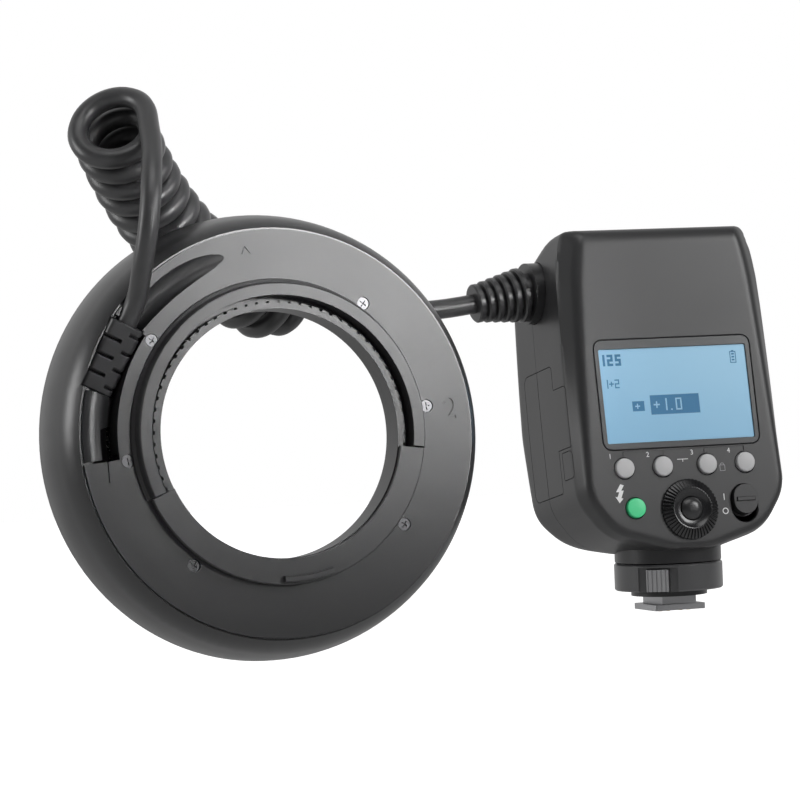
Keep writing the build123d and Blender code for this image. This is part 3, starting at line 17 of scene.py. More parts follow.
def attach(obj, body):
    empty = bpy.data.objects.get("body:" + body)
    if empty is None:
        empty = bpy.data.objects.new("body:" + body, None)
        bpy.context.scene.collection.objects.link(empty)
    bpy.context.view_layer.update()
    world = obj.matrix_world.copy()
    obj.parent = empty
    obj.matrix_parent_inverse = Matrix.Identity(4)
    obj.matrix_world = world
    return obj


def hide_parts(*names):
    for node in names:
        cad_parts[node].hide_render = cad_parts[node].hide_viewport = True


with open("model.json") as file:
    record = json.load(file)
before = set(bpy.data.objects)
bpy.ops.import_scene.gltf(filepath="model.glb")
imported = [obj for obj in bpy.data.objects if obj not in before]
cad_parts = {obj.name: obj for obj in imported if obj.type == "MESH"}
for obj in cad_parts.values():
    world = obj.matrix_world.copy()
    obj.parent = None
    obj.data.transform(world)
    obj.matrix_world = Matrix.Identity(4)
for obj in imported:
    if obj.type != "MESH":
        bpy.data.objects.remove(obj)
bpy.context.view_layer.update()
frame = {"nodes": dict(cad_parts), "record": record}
scene = bpy.context.scene
mm = 0.001
outer = np.multiply.outer
record = frame["record"]
body_of = {node: body for body, nodes in record["behaviour"]["bodies"].items() for node in nodes}
slot_of = {row["node"]: row["material_slot"] for row in record["subparts"]}


def add_object(name, data):
    """New object of this data, linked into the scene."""
    made = bpy.data.objects.new(name, data)
    scene.collection.objects.link(made)
    return made


# %% [markdown]
# The camera comes first, because everything else is judged through it. The object was photographed with
# a long lens from a little to the left and barely above. The view direction follows from an azimuth and an
# elevation, and a small roll turns the picture about it, so three angles and one place say it all.

# %% Camera
picture_width = 800
focal_pixels = 4000
sensor_width = 36
camera_azimuth = radians(-20.554)
camera_elevation = radians(1.155)
camera_roll = radians(-2.246)
camera_place = Vector((-559.6, -1239.5, 101.7)) * mm

level = cos(camera_elevation)
back = Vector((sin(camera_azimuth) * level, -cos(camera_azimuth) * level, sin(camera_elevation)))
flat_right = Vector((cos(camera_azimuth), sin(camera_azimuth), 0))
flat_up = back.cross(flat_right)
right = flat_right * cos(camera_roll) + flat_up * sin(camera_roll)
up = flat_up * cos(camera_roll) - flat_right * sin(camera_roll)

camera = add_object("camera", bpy.data.cameras.new("camera"))
camera.data.sensor_width = sensor_width
camera.data.lens = focal_pixels * sensor_width / picture_width
camera.data.clip_end = 20
camera.matrix_world = Matrix.Translation(camera_place) @ Matrix((right, up, back)).transposed().to_4x4()
scene.camera = camera
print("camera: lens", camera.data.lens, "mm")

# %% [markdown]
# Finishes are written as expressions. Signal wraps one socket, and a sum or product of signals adds Math
# nodes. Finish holds one material and adds any other node with one method, so a material reads like a
# formula instead of a list of links.


# %% Finish toolkit
class Signal:
    """One number or vector that flows through a material."""

    def __init__(self, finish, socket):
        self.finish = finish
        self.socket = socket

    def math(self, operation, first, second):
        return self.finish.node("ShaderNodeMath", {"operation": operation}, {0: first, 1: second})

    def __add__(self, other):
        return self.math("ADD", self, other)

    def __radd__(self, other):
        return self.math("ADD", other, self)

    def __sub__(self, other):
        return self.math("SUBTRACT", self, other)

    def __rsub__(self, other):
        return self.math("SUBTRACT", other, self)

    def __mul__(self, other):
        return self.math("MULTIPLY", self, other)


class Shading:
    """A tree of shader nodes, of the world or of a material, and methods that add nodes to it."""

    def __init__(self, tree):
        self.nodes = tree.nodes
        self.links = tree.links

    def node(self, kind, settings=None, inputs=None, output=0):
        """Adds a node, with its settings first and then the values or links of its sockets."""
        made = self.nodes.new(kind)
        for key, value in (settings or {}).items():
            setattr(made, key, value)
        for key, value in (inputs or {}).items():
            self.feed(made.inputs[key], value)
        return Signal(self, made.outputs[output])

    def feed(self, socket, value):
        """Links a signal to a socket, or writes a plain value into it."""
        if isinstance(value, Signal):
            self.links.new(value.socket, socket)
        else:
            socket.default_value = value

    def mix(self, factor, first, second):
        """Colour that goes from the first to the second."""
        colours = {0: factor, 6: (*first, 1), 7: (*second, 1)}
        return self.node("ShaderNodeMix", {"data_type": "RGBA"}, colours, output=2)

    def smooth(self, signal, low, high, from_value=0.0, to_value=1.0):
        """Smooth step of a signal between two of its values."""
        values = {"Value": signal, "From Min": low, "From Max": high}
        values.update({"To Min": from_value, "To Max": to_value})
        return self.node("ShaderNodeMapRange", {"interpolation_type": "SMOOTHSTEP"}, values)

    def ray(self, kind):
        """One for rays of a kind, such as Camera, and nought for all others."""
        return self.node("ShaderNodeLightPath", output="Is " + kind + " Ray")


class Finish(Shading):
    """A procedural material: its Principled shader, with places and noise in metres."""

    def __init__(self, name):
        self.material = bpy.data.materials.new(name)
        self.material.use_nodes = True
        super().__init__(self.material.node_tree)
        self.shader = self.nodes["Principled BSDF"]

    def place(self):
        """Object coordinates, which are metres in the frame."""
        return self.node("ShaderNodeTexCoord", output="Object")

    def axis(self, letter):
        """One coordinate of the place."""
        return self.node("ShaderNodeSeparateXYZ", inputs={"Vector": self.place()}, output=letter)

    def noise(self, size, detail=2.0, roughness=0.5, stretch=(1, 1, 1)):
        """Noise from 0 to 1 whose spots are about this size in metres."""
        stretched = self.node("ShaderNodeMapping", inputs={"Vector": self.place(), "Scale": stretch})
        values = {"Vector": stretched, "Scale": 1 / size, "Detail": detail, "Roughness": roughness}
        return self.node("ShaderNodeTexNoise", inputs=values)

    def bump(self, height, distance, strength=1.0):
        """Gives the surface relief of this many metres."""
        values = {"Height": height, "Distance": distance, "Strength": strength}
        self.feed(self.shader.inputs["Normal"], self.node("ShaderNodeBump", inputs=values))

    def set(self, **sockets):
        """Feeds the shader's sockets, named with underscores for spaces."""
        for key, value in sockets.items():
            value = (*value, 1) if isinstance(value, tuple) and len(value) == 3 else value
            self.feed(self.shader.inputs[key.replace("_", " ")], value)


print("toolkit:", Signal.__name__, Shading.__name__, Finish.__name__)

# %% [markdown]
# Most of the object is moulded plastic with a fine spark-eroded grain. Seen close, such a surface is never
# one grey: the grain scatters light, handling polishes some places, and a little dust settles in others.
# One function gives all the moulded greys, from satin to glossy.


# %% Moulded plastics
cloud_size = 0.018
grain_size = 0.00032


def moulded(name, shade, roughness, relief=0.000012):
    """Plastic with a fine grain: a slow cloud shifts its shade and gloss, and a fast one is its relief."""
    finish = Finish(name)
    cloud = finish.noise(cloud_size, detail=3.0)
    fine = finish.noise(grain_size, roughness=0.6)
    finish.set(
        Base_Color=finish.mix(cloud * 0.6 + fine * 0.25, shade, tuple(channel * 1.15 for channel in shade)),
        Roughness=roughness - 0.05 + cloud * 0.06 + fine * 0.05,
    )
    finish.bump(fine, relief)
    return finish.material


body_plastic = moulded("body_plastic", (0.020, 0.020, 0.021), 0.40)
ring_plastic = moulded("ring_plastic", (0.024, 0.024, 0.025), 0.42)
shell_plastic = moulded("shell_plastic", (0.016, 0.016, 0.017), 0.32, relief=0.000004)
dark_plastic = moulded("dark_plastic", (0.012, 0.012, 0.013), 0.5)
lock_plastic = moulded("lock_plastic", (0.060, 0.060, 0.062), 0.30)
hub_plastic = moulded("hub_plastic", (0.012, 0.012, 0.013), 0.34)
switch_plastic = moulded("switch_plastic", (0.014, 0.014, 0.015), 0.36)
dial_plastic = moulded("dial_plastic", (0.010, 0.010, 0.011), 0.24, relief=0.000003)
set_plastic = moulded("set_plastic", (0.018, 0.018, 0.019), 0.30, relief=0.000003)
bezel_plastic = moulded("bezel_plastic", (0.022, 0.024, 0.026), 0.34, relief=0.000003)
grey_key = moulded("grey_key", (0.40, 0.40, 0.405), 0.42)
green_key = moulded("green_key", (0.055, 0.60, 0.25), 0.38)
diffuser_plastic = moulded("diffuser_plastic", (0.80, 0.80, 0.78), 0.5)
board_laminate = moulded("board_laminate", (0.03, 0.16, 0.07), 0.4)
sleeve_film = moulded("sleeve_film", (0.02, 0.03, 0.06), 0.3)
print("moulded finishes:", len(bpy.data.materials))

# %% [markdown]
# The cord's jacket is a soft black polymer. It is smoother than the moulded parts, with a faint haze that
# breaks the long highlight along each curl. The boots are the same stuff, a shade darker.


# %% Rubber, metals and paint
def rubber(name, shade, roughness):
    """Soft polymer with a hazy sheen: slow clouds in shade and gloss, and a shallow uneven skin."""
    finish = Finish(name)
    haze = finish.noise(0.006, detail=4.0)
    skin = finish.noise(0.0006)
    finish.set(
        Base_Color=finish.mix(haze, shade, tuple(channel * 1.5 for channel in shade)),
        Roughness=roughness - 0.06 + haze * 0.12,
    )
    finish.bump(skin, 0.00001)
    return finish.material


def metal(name, shade, roughness, stretch):
    """Metal with marks drawn along one direction, because noise stretched that way is its brushing."""
    finish = Finish(name)
    brushing = finish.noise(0.0005, detail=3.0, stretch=stretch)
    finish.set(
        Base_Color=finish.mix(brushing, tuple(channel * 0.85 for channel in shade), shade),
        Metallic=1.0,
        Roughness=roughness - 0.05 + brushing * 0.12,
    )
    finish.bump(brushing, 0.000006)
    return finish.material


def paint(name, shade):
    """Thin printed ink, slightly uneven."""
    finish = Finish(name)
    spread = finish.noise(0.0008)
    colour = finish.mix(spread, shade, tuple(channel * 0.92 for channel in shade))
    finish.set(Base_Color=colour, Roughness=0.5)
    return finish.material


cord_rubber = rubber("cord_rubber", (0.026, 0.026, 0.027), 0.38)
boot_rubber = rubber("boot_rubber", (0.020, 0.020, 0.021), 0.34)
foot_metal = metal("foot_metal", (0.36, 0.36, 0.37), 0.36, (1, 0.1, 1))
release_metal = metal("release_metal", (0.42, 0.42, 0.43), 0.36, (1, 1, 0.1))
screw_metal = metal("screw_metal", (0.085, 0.085, 0.088), 0.36, (1, 1, 1))
spring_metal = metal("spring_metal", (0.60, 0.60, 0.60), 0.28, (1, 1, 0.2))
contact_metal = metal("contact_metal", (0.80, 0.60, 0.24), 0.25, (1, 1, 0.2))
mirror_metal = metal("mirror_metal", (0.80, 0.80, 0.80), 0.25, (1, 1, 1))
white_paint = paint("white_paint", (0.75, 0.75, 0.75))
line_paint = paint("line_paint", (0.30, 0.30, 0.31))
ink_paint = paint("ink_paint", (0.010, 0.155, 0.330))
pale_paint = paint("pale_paint", (0.30, 0.56, 0.76))
print("finishes:", len(bpy.data.materials))

# %% [markdown]
# The ring and the controller's face both lean and turn a little against the frame. Three directions each and
# one point say how, and two place functions turn their own coordinates into world points, so every later
# piece is written in the flat coordinates of the part that carries it.

# %% Frame directions of the ring and the controller
ring_centre = np.array((-157.5, -59.1, 67.7))
ring_tip = radians(4.5)
ring_roll = radians(7.3)
ring_out = np.array((0, -cos(ring_tip), sin(ring_tip)))
ring_up = np.array((0, sin(ring_tip), cos(ring_tip)))
ring_across = np.array((cos(ring_roll), 0, 0)) + ring_up * sin(ring_roll)
ring_bore = 39.0
ring_band = 31.6

face_lean = radians(9.91)
face_start = np.array((0, -25.3, 0))
inward = np.array((0, cos(face_lean), -sin(face_lean)))
upward = np.array((0, sin(face_lean), cos(face_lean)))
across = np.array((1.0, 0, 0))


def ways_at(turns):
    """Rows of x and y of length one, at these turns."""
    return np.column_stack([np.cos(turns), np.sin(turns)])


def turning(degrees):
    """Matrix that turns rows of x and y by this many degrees when it stands behind them."""
    spin = radians(degrees)
    return np.array([(cos(spin), sin(spin)), (-sin(spin), cos(spin))])


def spun(centre, x_way, axis_way):
    """Place function of a lathe at this centre: radius, degrees and height become world points."""
    y_way = np.cross(axis_way, x_way)

    def place(radius, angle, height):
        turn = np.radians(angle)
        around = outer(np.cos(turn), x_way) + outer(np.sin(turn), y_way)
        return centre + around * np.expand_dims(radius, -1) + outer(height, axis_way)

    return place


ring_place = spun(ring_centre, ring_across, ring_out)


def face_place(sideways, climb, depth):
    """World points in millimetres from sideways, distance up the leaning face and depth behind it."""
    return face_start + outer(sideways, across) + outer(climb, upward) + outer(depth, inward)


def face_climb(height):
    """Distance up the leaning face of a point at this height."""
    return height / cos(face_lean)


print("display face leans", round(degrees(face_lean), 2), "degrees")

# %% [markdown]
# The cord is a telephone-style curly cord. Its route is the one the solids follow: a short free stretch
# from the boot in the ring, fourteen curls round a bent axis, and a short stretch into the controller's
# boot. It has to be one unbroken line, so all of it is one NURBS spline, and the curls are worked out
# as points of that spline by the same formula as in the part's source.

# %% Curly cord
cord_diameter = 6.6
curl_controls = np.array([(-202, -38, 167), (-186, -12, 141.5), (-156, 9, 107), (-111, 15, 105)])
curl_turns = 14
curl_radius = 10.5
first_curl_radius = 11.6
last_curl_radius = 6.0
curl_pitch = 7.65
last_curl_pitch = 8.8
loose_curls_from = 8
first_opening_turns = 1.4
last_closing_turns = 0.9
first_curl_angle = radians(74)
points_per_turn = 16
axis_steps = 400
sample_step = 0.5


def axis_curve(share):
    """Cubic curve with four control points: each weight is a power of the share and of its rest."""
    share = np.expand_dims(share, -1)
    rest = 1 - share
    first, second, third, fourth = curl_controls
    return first * rest**3 + second * 3 * share * rest**2 + third * 3 * share**2 * rest + fourth * share**3


axis_shares = np.linspace(0, 1, axis_steps + 1)
axis_strides = np.linalg.norm(np.diff(axis_curve(axis_shares), axis=0), axis=1)
axis_lengths = np.concatenate([[0], np.cumsum(axis_strides)])


def axis_at(distance):
    """Points on the axis at these distances along it."""
    return axis_curve(np.interp(distance, axis_lengths, axis_shares))


def ease(value):
    """Smooth step from 0 to 1."""
    value = np.clip(value, 0, 1)
    return value * value * (3 - 2 * value)


def unit(vectors):
    """Vectors of length one."""
    return vectors / np.linalg.norm(vectors, axis=-1, keepdims=True)


def curl_points(turn, reach_share=1.0):
    """Left-handed helix: a circle across the axis turns back once a turn while its centre moves along."""
    late = np.maximum(turn - loose_curls_from, 0)
    growth = (last_curl_pitch - curl_pitch) / (2 * (curl_turns - loose_curls_from))
    distance = curl_pitch * turn + growth * late**2
    opening = (first_curl_radius - curl_radius) * (1 - ease(turn / first_opening_turns))
    closing_share = ease((turn - curl_turns + last_closing_turns) / last_closing_turns)
    closing = (last_curl_radius - curl_radius) * closing_share
    reach = (curl_radius + opening + closing) * reach_share
    near = np.maximum(distance, sample_step)
    along = unit(axis_at(near + sample_step) - axis_at(near - sample_step))
    middle = axis_at(distance) + along * np.minimum(distance, 0)[:, None]
    level_way = unit(np.array((0, 0, 1)) - along * along[:, 2:])
    side_way = np.cross(along, level_way)
    angle = first_curl_angle - 2 * pi * turn
    around = level_way * np.cos(angle)[:, None] + side_way * np.sin(angle)[:, None]
    return middle + around * reach[:, None]


boot_angle = 145.6
boot_radius = 58.2444
boot_depth = 4.9
boot_tip = radians(16)
boot_length = 22.5
boot_tangent = ring_place(1, boot_angle + 90, 0) - ring_centre
boot_axis = -boot_tangent * cos(boot_tip) + ring_out * sin(boot_tip)
boot_centre = ring_place(boot_radius, boot_angle, -boot_depth)
boot_exit = boot_centre + boot_axis * boot_length / 2
first_run = 8.0
end_run = 10.0
turn_step = 0.005
curl_start = curl_points(np.array([0.0]))[0]
start_pair = curl_points(np.array([-turn_step, turn_step]))
start_way = unit(start_pair[1] - start_pair[0])
coil_entry = curl_start - start_way * cord_diameter
tail = np.array((-97.5, 20, 103.8))
tail_way = unit(np.array((1, 0, 0.02)))
coil_exit = tail + tail_way * cord_diameter
plug_droop = radians(8)
plug_way = np.array((cos(plug_droop), 0, sin(plug_droop)))
boss_centre = np.array((-40.2, 20.3, 108.6))
boss_run = 19.3
plug_tip = boss_centre - plug_way * boss_run

ring_side = [boot_exit, boot_exit + boot_axis * first_run]
ring_side += [(-201.8, -64, 119.2), (-200.6, -68.2, 130), (-198.8, -67.6, 142), (-196.5, -62, 151)]
ring_side += [coil_entry - start_way * end_run, coil_entry]
controller_side = [tail, coil_exit, coil_exit + tail_way * end_run, plug_tip - plug_way * end_run, plug_tip]
spline_share = 1 / cos(pi / points_per_turn)
curls = curl_points(np.linspace(0, curl_turns, curl_turns * points_per_turn + 1), spline_share)
cord_points = np.vstack([ring_side, curls, controller_side]) * mm

cord_curve = bpy.data.curves.new("curly_cord", "CURVE")
cord_curve.dimensions = "3D"
cord_curve.bevel_depth = cord_diameter / 2 * mm
cord_curve.bevel_resolution = 4
cord_curve.resolution_u = 4
cord_curve.use_fill_caps = True
spline = cord_curve.splines.new("NURBS")
spline.points.add(len(cord_points) - 1)
spline.points.foreach_set("co", np.column_stack([cord_points, np.ones(len(cord_points))]).ravel())
spline.order_u = 3
spline.use_endpoint_u = True
cord_curve.materials.append(cord_rubber)
cord = add_object("curly_cord", cord_curve)
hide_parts("cord_ring_side", "curly_coil", "cord_controller_side")
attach(cord, "flash")

# %% [markdown]
# Round pieces are turned from a profile, as on a lathe. A profile is a short list of corners, each with
# the radius that the mould gives it, and one helper puts a true arc in every corner. Then the profile is
# carried round an axis as one array, which gives even quads and clean highlights.


# %% Mesh helpers
merge_distance = 0.000002
flat_angle = radians(0.5)
crease_degrees = 32


def rounded(corners, steps=4):
    """Outline with an arc in every corner: a corner is x, y and its radius.

    The arc touches both sides at radius times the tangent of half the turn from the corner, and its
    points follow the circle between the two touching points."""
    outline = []
    for index, (x, y, radius) in enumerate(corners):
        if radius == 0:
            outline.append((x, y))
            continue
        here = np.array((x, y))
        before = unit(np.array(corners[index - 1][:2]) - here)
        after = unit(np.array(corners[(index + 1) % len(corners)][:2]) - here)
        half = acos(np.clip(before @ after, -1, 1)) / 2
        centre = here + unit(before + after) * radius / sin(half)
        start = here + before * radius / tan(half) - centre
        stop = here + after * radius / tan(half) - centre
        first = atan2(start[1], start[0])
        sweep = (atan2(stop[1], stop[0]) - first + pi) % (2 * pi) - pi
        turns = first + sweep * np.linspace(0, 1, steps + 1)
        outline += list(centre + radius * ways_at(turns))
    return np.array(outline)


def grid_faces(rows, columns, wrap_rows=False, wrap_columns=True):
    """Quads between neighbouring rows and columns of a grid of points, wrapped where asked."""
    row = np.arange(rows if wrap_rows else rows - 1)[:, None]
    column = np.arange(columns if wrap_columns else columns - 1)[None, :]
    next_row = (row + 1) % rows
    next_column = (column + 1) % columns
    corners = [row * columns + column, row * columns + next_column]
    corners += [next_row * columns + next_column, next_row * columns + column]
    return np.stack(corners, axis=-1).reshape(-1, 4)


def crease(mesh, degrees=crease_degrees):
    """Smooth shading, with edges sharper than this left crisp."""
    mesh.shade_smooth()
    mesh.set_sharp_from_angle(angle=radians(degrees))


def weld(mesh, flatten=False, outward=False):
    """Joins doubled points, and may dissolve the lines inside flat faces or turn all faces outwards."""
    work = bmesh.new()
    work.from_mesh(mesh)
    bmesh.ops.remove_doubles(work, verts=work.verts, dist=merge_distance)
    if flatten:
        bmesh.ops.dissolve_limit(work, angle_limit=flat_angle, verts=work.verts, edges=work.edges)
    if outward:
        bmesh.ops.recalc_face_normals(work, faces=work.faces)
    work.to_mesh(mesh)
    work.free()


def add_piece(name, points, faces, finish, node=None, slot=None, caps=(), outward=True):
    """Puts a mesh of points in millimetres into the scene.

    It stands for a node and takes its body, or is an extra on the fixed body, or is bare."""
    mesh = bpy.data.meshes.new(name)
    polygons = [list(face) for face in faces] + [list(cap) for cap in caps]
    mesh.from_pydata(np.asarray(points).reshape(-1, 3) * mm, [], polygons)
    weld(mesh, outward=outward)
    crease(mesh)
    mesh.materials.append(finish)
    piece = add_object(name, mesh)
    if node:
        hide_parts(node)
    if node or slot:
        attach(piece, body_of.get(node, "flash"))
        slot_of.get(node, slot)
    return piece


def turned(name, profile, place, finish, node, count=72):
    """Solid of revolution: every profile point is carried round the axis."""
    angles = np.arange(count) * 360 / count
    points = place(*np.broadcast_arrays(profile[:, 0], angles[:, None], profile[:, 1]))
    return add_piece(name, points, grid_faces(count, len(profile), True), finish, node)


print("a rounded square has", len(rounded([(0, 0, 1), (4, 0, 1), (4, 4, 1), (0, 4, 1)])), "points")

# %% [markdown]
# Openings, recesses and engraved marks are cut with plain solids. A cutter is a prism or a turned bar, and a
# Boolean takes it away exactly, so keys, dial, cap and boot sit in real holes and can move in them. The
# mouth of a moulded hole is never knife sharp, so its cutter flares over the last third of a millimetre.


# %% Cutting helpers
def loose(name, points, faces, caps=()):
    """Helper solid that isn't a piece of the object: it is used for cutting and then removed."""
    return add_piece(name, points, faces, dark_plastic, caps=caps)


def evaluated_mesh(piece):
    """Mesh of an object after its modifiers, or of a text."""
    return bpy.data.meshes.new_from_object(piece.evaluated_get(bpy.context.evaluated_depsgraph_get()))


def boolean(piece, tool, operation="DIFFERENCE"):
    """Cuts a tool solid away from a piece, or keeps only what lies inside it, and removes the tool."""
    cut = piece.modifiers.new("cut", "BOOLEAN")
    cut.operation = operation
    cut.object = tool
    cut.solver = "EXACT"
    mesh = evaluated_mesh(piece)
    piece.modifiers.clear()
    piece.data = mesh
    bpy.data.objects.remove(tool)


def joined(pieces):
    """One object from several, whose meshes are stacked without being welded."""
    stack = bmesh.new()
    for piece in pieces:
        stack.from_mesh(piece.data)
    mesh = bpy.data.meshes.new(pieces[0].name)
    stack.to_mesh(mesh)
    stack.free()
    pieces[0].data = mesh
    for piece in pieces[1:]:
        bpy.data.objects.remove(piece)
    return pieces[0]


def side_place(depth, climb, sideways):
    """Place function of prisms whose outline lies across the controller."""
    return face_place(sideways, climb, depth)


def circle(x, y, radius, count=64):
    """Round outline."""
    return (x, y) + radius * ways_at(2 * pi * np.arange(count) / count)


def rectangle(low_x, low_y, high_x, high_y, radius, steps=6):
    """Outline with equal round corners."""
    corners = [(low_x, low_y), (high_x, low_y), (high_x, high_y), (low_x, high_y)]
    return rounded([(*corner, radius) for corner in corners], steps)


def stadium(x, y, width, height, steps=16):
    """Outline with half-round ends, standing up."""
    half, end = width / 2, height / 2
    return rectangle(x - half, y - end, x + half, y + end, half * 0.999, steps)


def inset_outline(outline, amount):
    """Closed outline moved inwards by an amount, each point along the mean of its two sides' normals."""
    ways = unit(np.roll(outline, -1, axis=0) - outline)
    normals = np.column_stack([-ways[:, 1], ways[:, 0]])
    bisector = unit(normals + np.roll(normals, 1, axis=0))
    stretch = np.maximum(np.sum(bisector * normals, axis=1), 0.3)
    return outline + bisector * (amount / stretch)[:, None]


def layer(outline, depth, place=face_place):
    """World points of an outline at one depth."""
    return place(outline[:, 0], outline[:, 1], np.full(len(outline), depth))


def end_caps(count, levels=2, start=0):
    """First and last ring of points of a prism, as the faces that close it."""
    last = start + count * (levels - 1)
    return [range(start, start + count), range(last, last + count)]


def cutter(outline, low, high, place=face_place, flare=0.0):
    """Loose prism for cutting, wider by the flare down to as much below the surface."""
    levels = [(low, flare), (0.0, flare), (flare, 0.0), (high, 0.0)] if flare else [(low, 0.0), (high, 0.0)]
    shapes = [(depth, inset_outline(outline, -wider) if wider else outline) for depth, wider in levels]
    layers = [layer(shape, depth, place) for depth, shape in shapes]
    count = len(outline)
    return loose("cutter", np.array(layers), grid_faces(len(levels), count), end_caps(count, len(levels)))


def bar_cutter(centre, way, radius, length, count=72):
    """Loose round bar for cutting."""
    x_way = unit(np.cross(way, (0.3, 0.5, 0.8)))
    place = spun(np.asarray(centre), x_way, np.asarray(way))
    circle_round = np.column_stack([np.full(count, radius), np.arange(count) * 360 / count])
    layers = [layer(circle_round, height, place) for height in (0.0, length)]
    return loose("cutter", np.array(layers), grid_faces(2, count), end_caps(count))


def plates(name, outlines, low, high, finish, **options):
    """Thin flat pieces in one mesh: each outline becomes a low prism between two depths."""
    points, faces, caps, total = [], [], [], 0
    for outline in outlines:
        count = len(outline)
        points += [layer(outline, low), layer(outline, high)]
        faces.append(grid_faces(2, count) + total)
        caps += end_caps(count, start=total)
        total += 2 * count
    return add_piece(name, np.vstack(points), np.vstack(faces), finish, caps=caps, **options)


digit_height_share = 0.7


def lettering(items, place, low, high):
    """Plain figures as one mesh: each item is a text, its height, its middle and its turn in degrees."""
    points, faces, total = [], [], 0
    for text, height, x, y, turn in items:
        curve = bpy.data.curves.new("figure", "FONT")
        curve.body = text
        curve.size = height / digit_height_share
        curve.align_x = curve.align_y = "CENTER"
        curve.resolution_u = 4
        curve.extrude = 0.5
        holder = add_object("figure", curve)
        mesh = evaluated_mesh(holder)
        bpy.data.objects.remove(holder)
        flat = np.zeros(len(mesh.vertices) * 3)
        mesh.vertices.foreach_get("co", flat)
        flat = flat.reshape(-1, 3)
        across_text, up_text = (flat[:, :2] @ turning(turn)).T + np.array([[x], [y]])
        points.append(place(across_text, up_text, low + (high - low) * (0.5 - flat[:, 2])))
        faces += [[corner + total for corner in polygon.vertices] for polygon in mesh.polygons]
        total += len(flat)
    return np.vstack(points), faces


def ring_flat(x, y, height):
    """World points from sideways and upwards on the ring's rear face, and height out of it."""
    return ring_place(np.hypot(x, y), np.degrees(np.arctan2(y, x)), height)


print("a slot outline has", len(stadium(0, 0, 4, 8)), "points")

# %% [markdown]
# Nodes whose solid is already right keep that shape. Their mesh is loose triangles, which shade in facets,
# so a merged copy stands for the node: doubles are joined, gentle edges are smoothed and true edges stay.
# A fine bevel on the true edges catches the light, as the edge of a moulded or milled part does.


# %% Smooth copies of the solids
copy_crease_degrees = 28
bevel_segments = 2


def settle(piece, node, finish, sharp=crease_degrees, bevel=0.0):
    """Makes a solid the piece that stands for a node, with an optional fine bevel on its true edges."""
    piece.name = piece.data.name = node + "_skin"
    piece.data.materials.clear()
    piece.data.materials.append(finish)
    crease(piece.data, sharp)
    if bevel:
        edge = piece.modifiers.new("edge", "BEVEL")
        edge.width = bevel * mm
        edge.segments = bevel_segments
        edge.limit_method = "ANGLE"
        edge.angle_limit = radians(sharp)
        edge.harden_normals = True
    weighted = piece.modifiers.new("flat faces", "WEIGHTED_NORMAL")
    weighted.keep_sharp = True
    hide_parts(node)
    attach(piece, body_of[node])


def smooth_copy(node, finish, bevel=0.0, cut=None):
    """Welded copy of a CAD node that stands for it, after an optional cut."""
    mesh = frame["nodes"][node].data.copy()
    for attribute in [a for a in mesh.attributes if a.name == "custom_normal"]:
        mesh.attributes.remove(attribute)
    weld(mesh, flatten=bool(bevel or cut))
    piece = add_object(node + "_skin", mesh)
    if cut:
        boolean(piece, cut)
    settle(piece, node, finish, copy_crease_degrees, bevel)


plain_nodes = {
    "ring_shell": shell_plastic,
    "adapter_sleeve": ring_plastic,
    "latch_springs": spring_metal,
    "bore_hood": ring_plastic,
    "front_diffuser": diffuser_plastic,
    "reflector": mirror_metal,
    "flash_tube_a": diffuser_plastic,
    "flash_tube_b": diffuser_plastic,
    "modelling_lamps": diffuser_plastic,
    "ring_board": board_laminate,
    "controller_boot": boot_rubber,
    "main_board": board_laminate,
    "flash_capacitor": sleeve_film,
    "dial_encoder": dark_plastic,
    "battery_liner": dark_plastic,
    "foot_hub": hub_plastic,
    "shoe_screws": screw_metal,
    "contact_pins": contact_metal,
    "locking_pin": spring_metal,
}
for node, finish in plain_nodes.items():
    smooth_copy(node, finish)
bevelled_nodes = {
    "mount_collar": (ring_plastic, 0.12),
    "adapter_latch": (ring_plastic, 0.12),
    "ring_boot": (boot_rubber, 0.3),
    "foot_collar": (hub_plastic, 0.3),
    "lock_ring": (lock_plastic, 0.25),
    "lock_release": (release_metal, 0.1),
    "shoe_foot": (foot_metal, 0.15),
    "slide_switch": (switch_plastic, 0.2),
}
for node, (finish, width) in bevelled_nodes.items():
    smooth_copy(node, finish, bevel=width)
print("smooth copies:", len(plain_nodes) + len(bevelled_nodes))

# %% [markdown]
# The ring's rear cover carries two figures for its two lamps and a small arrow, all pressed nearly half a
# millimetre into the plastic, and six cross-head screws. A pressed mark is the same figure as a shallow
# cutter, so the light draws its outline, as it does on the real one. Plain figures stand in for letters.

# %% Marks and screws of the ring
mark_start = 1.0
mark_depth = 0.45
figure_height = 6.6
figure_circle = 57.4
figure_turn = -6
arrow_circle = 57.6
arrow_size = 1.9
arrow_inner_share = 0.78
figures = [
    ("1", figure_height, -figure_circle + 0.3, -2.6, figure_turn),
    ("2", figure_height, figure_circle, -2.4, figure_turn),
]
marks = loose("marks", *lettering(figures, ring_flat, mark_start, -mark_depth))
arrow_ways = ways_at(np.radians([90, 210, 330]))
for first, second in ((arrow_ways[0], arrow_ways[1]), (arrow_ways[2], arrow_ways[0])):
    slit = np.array([first, second, second * arrow_inner_share, first * arrow_inner_share]) * arrow_size
    marks = joined([marks, cutter(slit + (0, arrow_circle), mark_start, -mark_depth, ring_flat)])
smooth_copy("ring_rear_cover", ring_plastic, cut=marks)

screw_circle = ring_bore + ring_band * 0.348
screw_angles = [135, 45, 0, -45, -135, 180]
head_top = -0.4
cross_reach = 1.15
cross_half = 0.21
cross_depth = 0.7
arm = np.array([(cross_reach, -cross_half), (cross_reach, cross_half), (cross_half, cross_half)])
cross_outline = np.vstack([arm @ turning(quarter) for quarter in (0, 90, 180, 270)])
crosses = []
for angle in screw_angles:
    outline = cross_outline @ turning(angle) + np.array((screw_circle, 0)) @ turning(angle)
    crosses.append(cutter(outline, mark_start, head_top - cross_depth, ring_flat))
smooth_copy("ring_screws", screw_metal, cut=joined(crosses))
print("screws:", len(screw_angles))

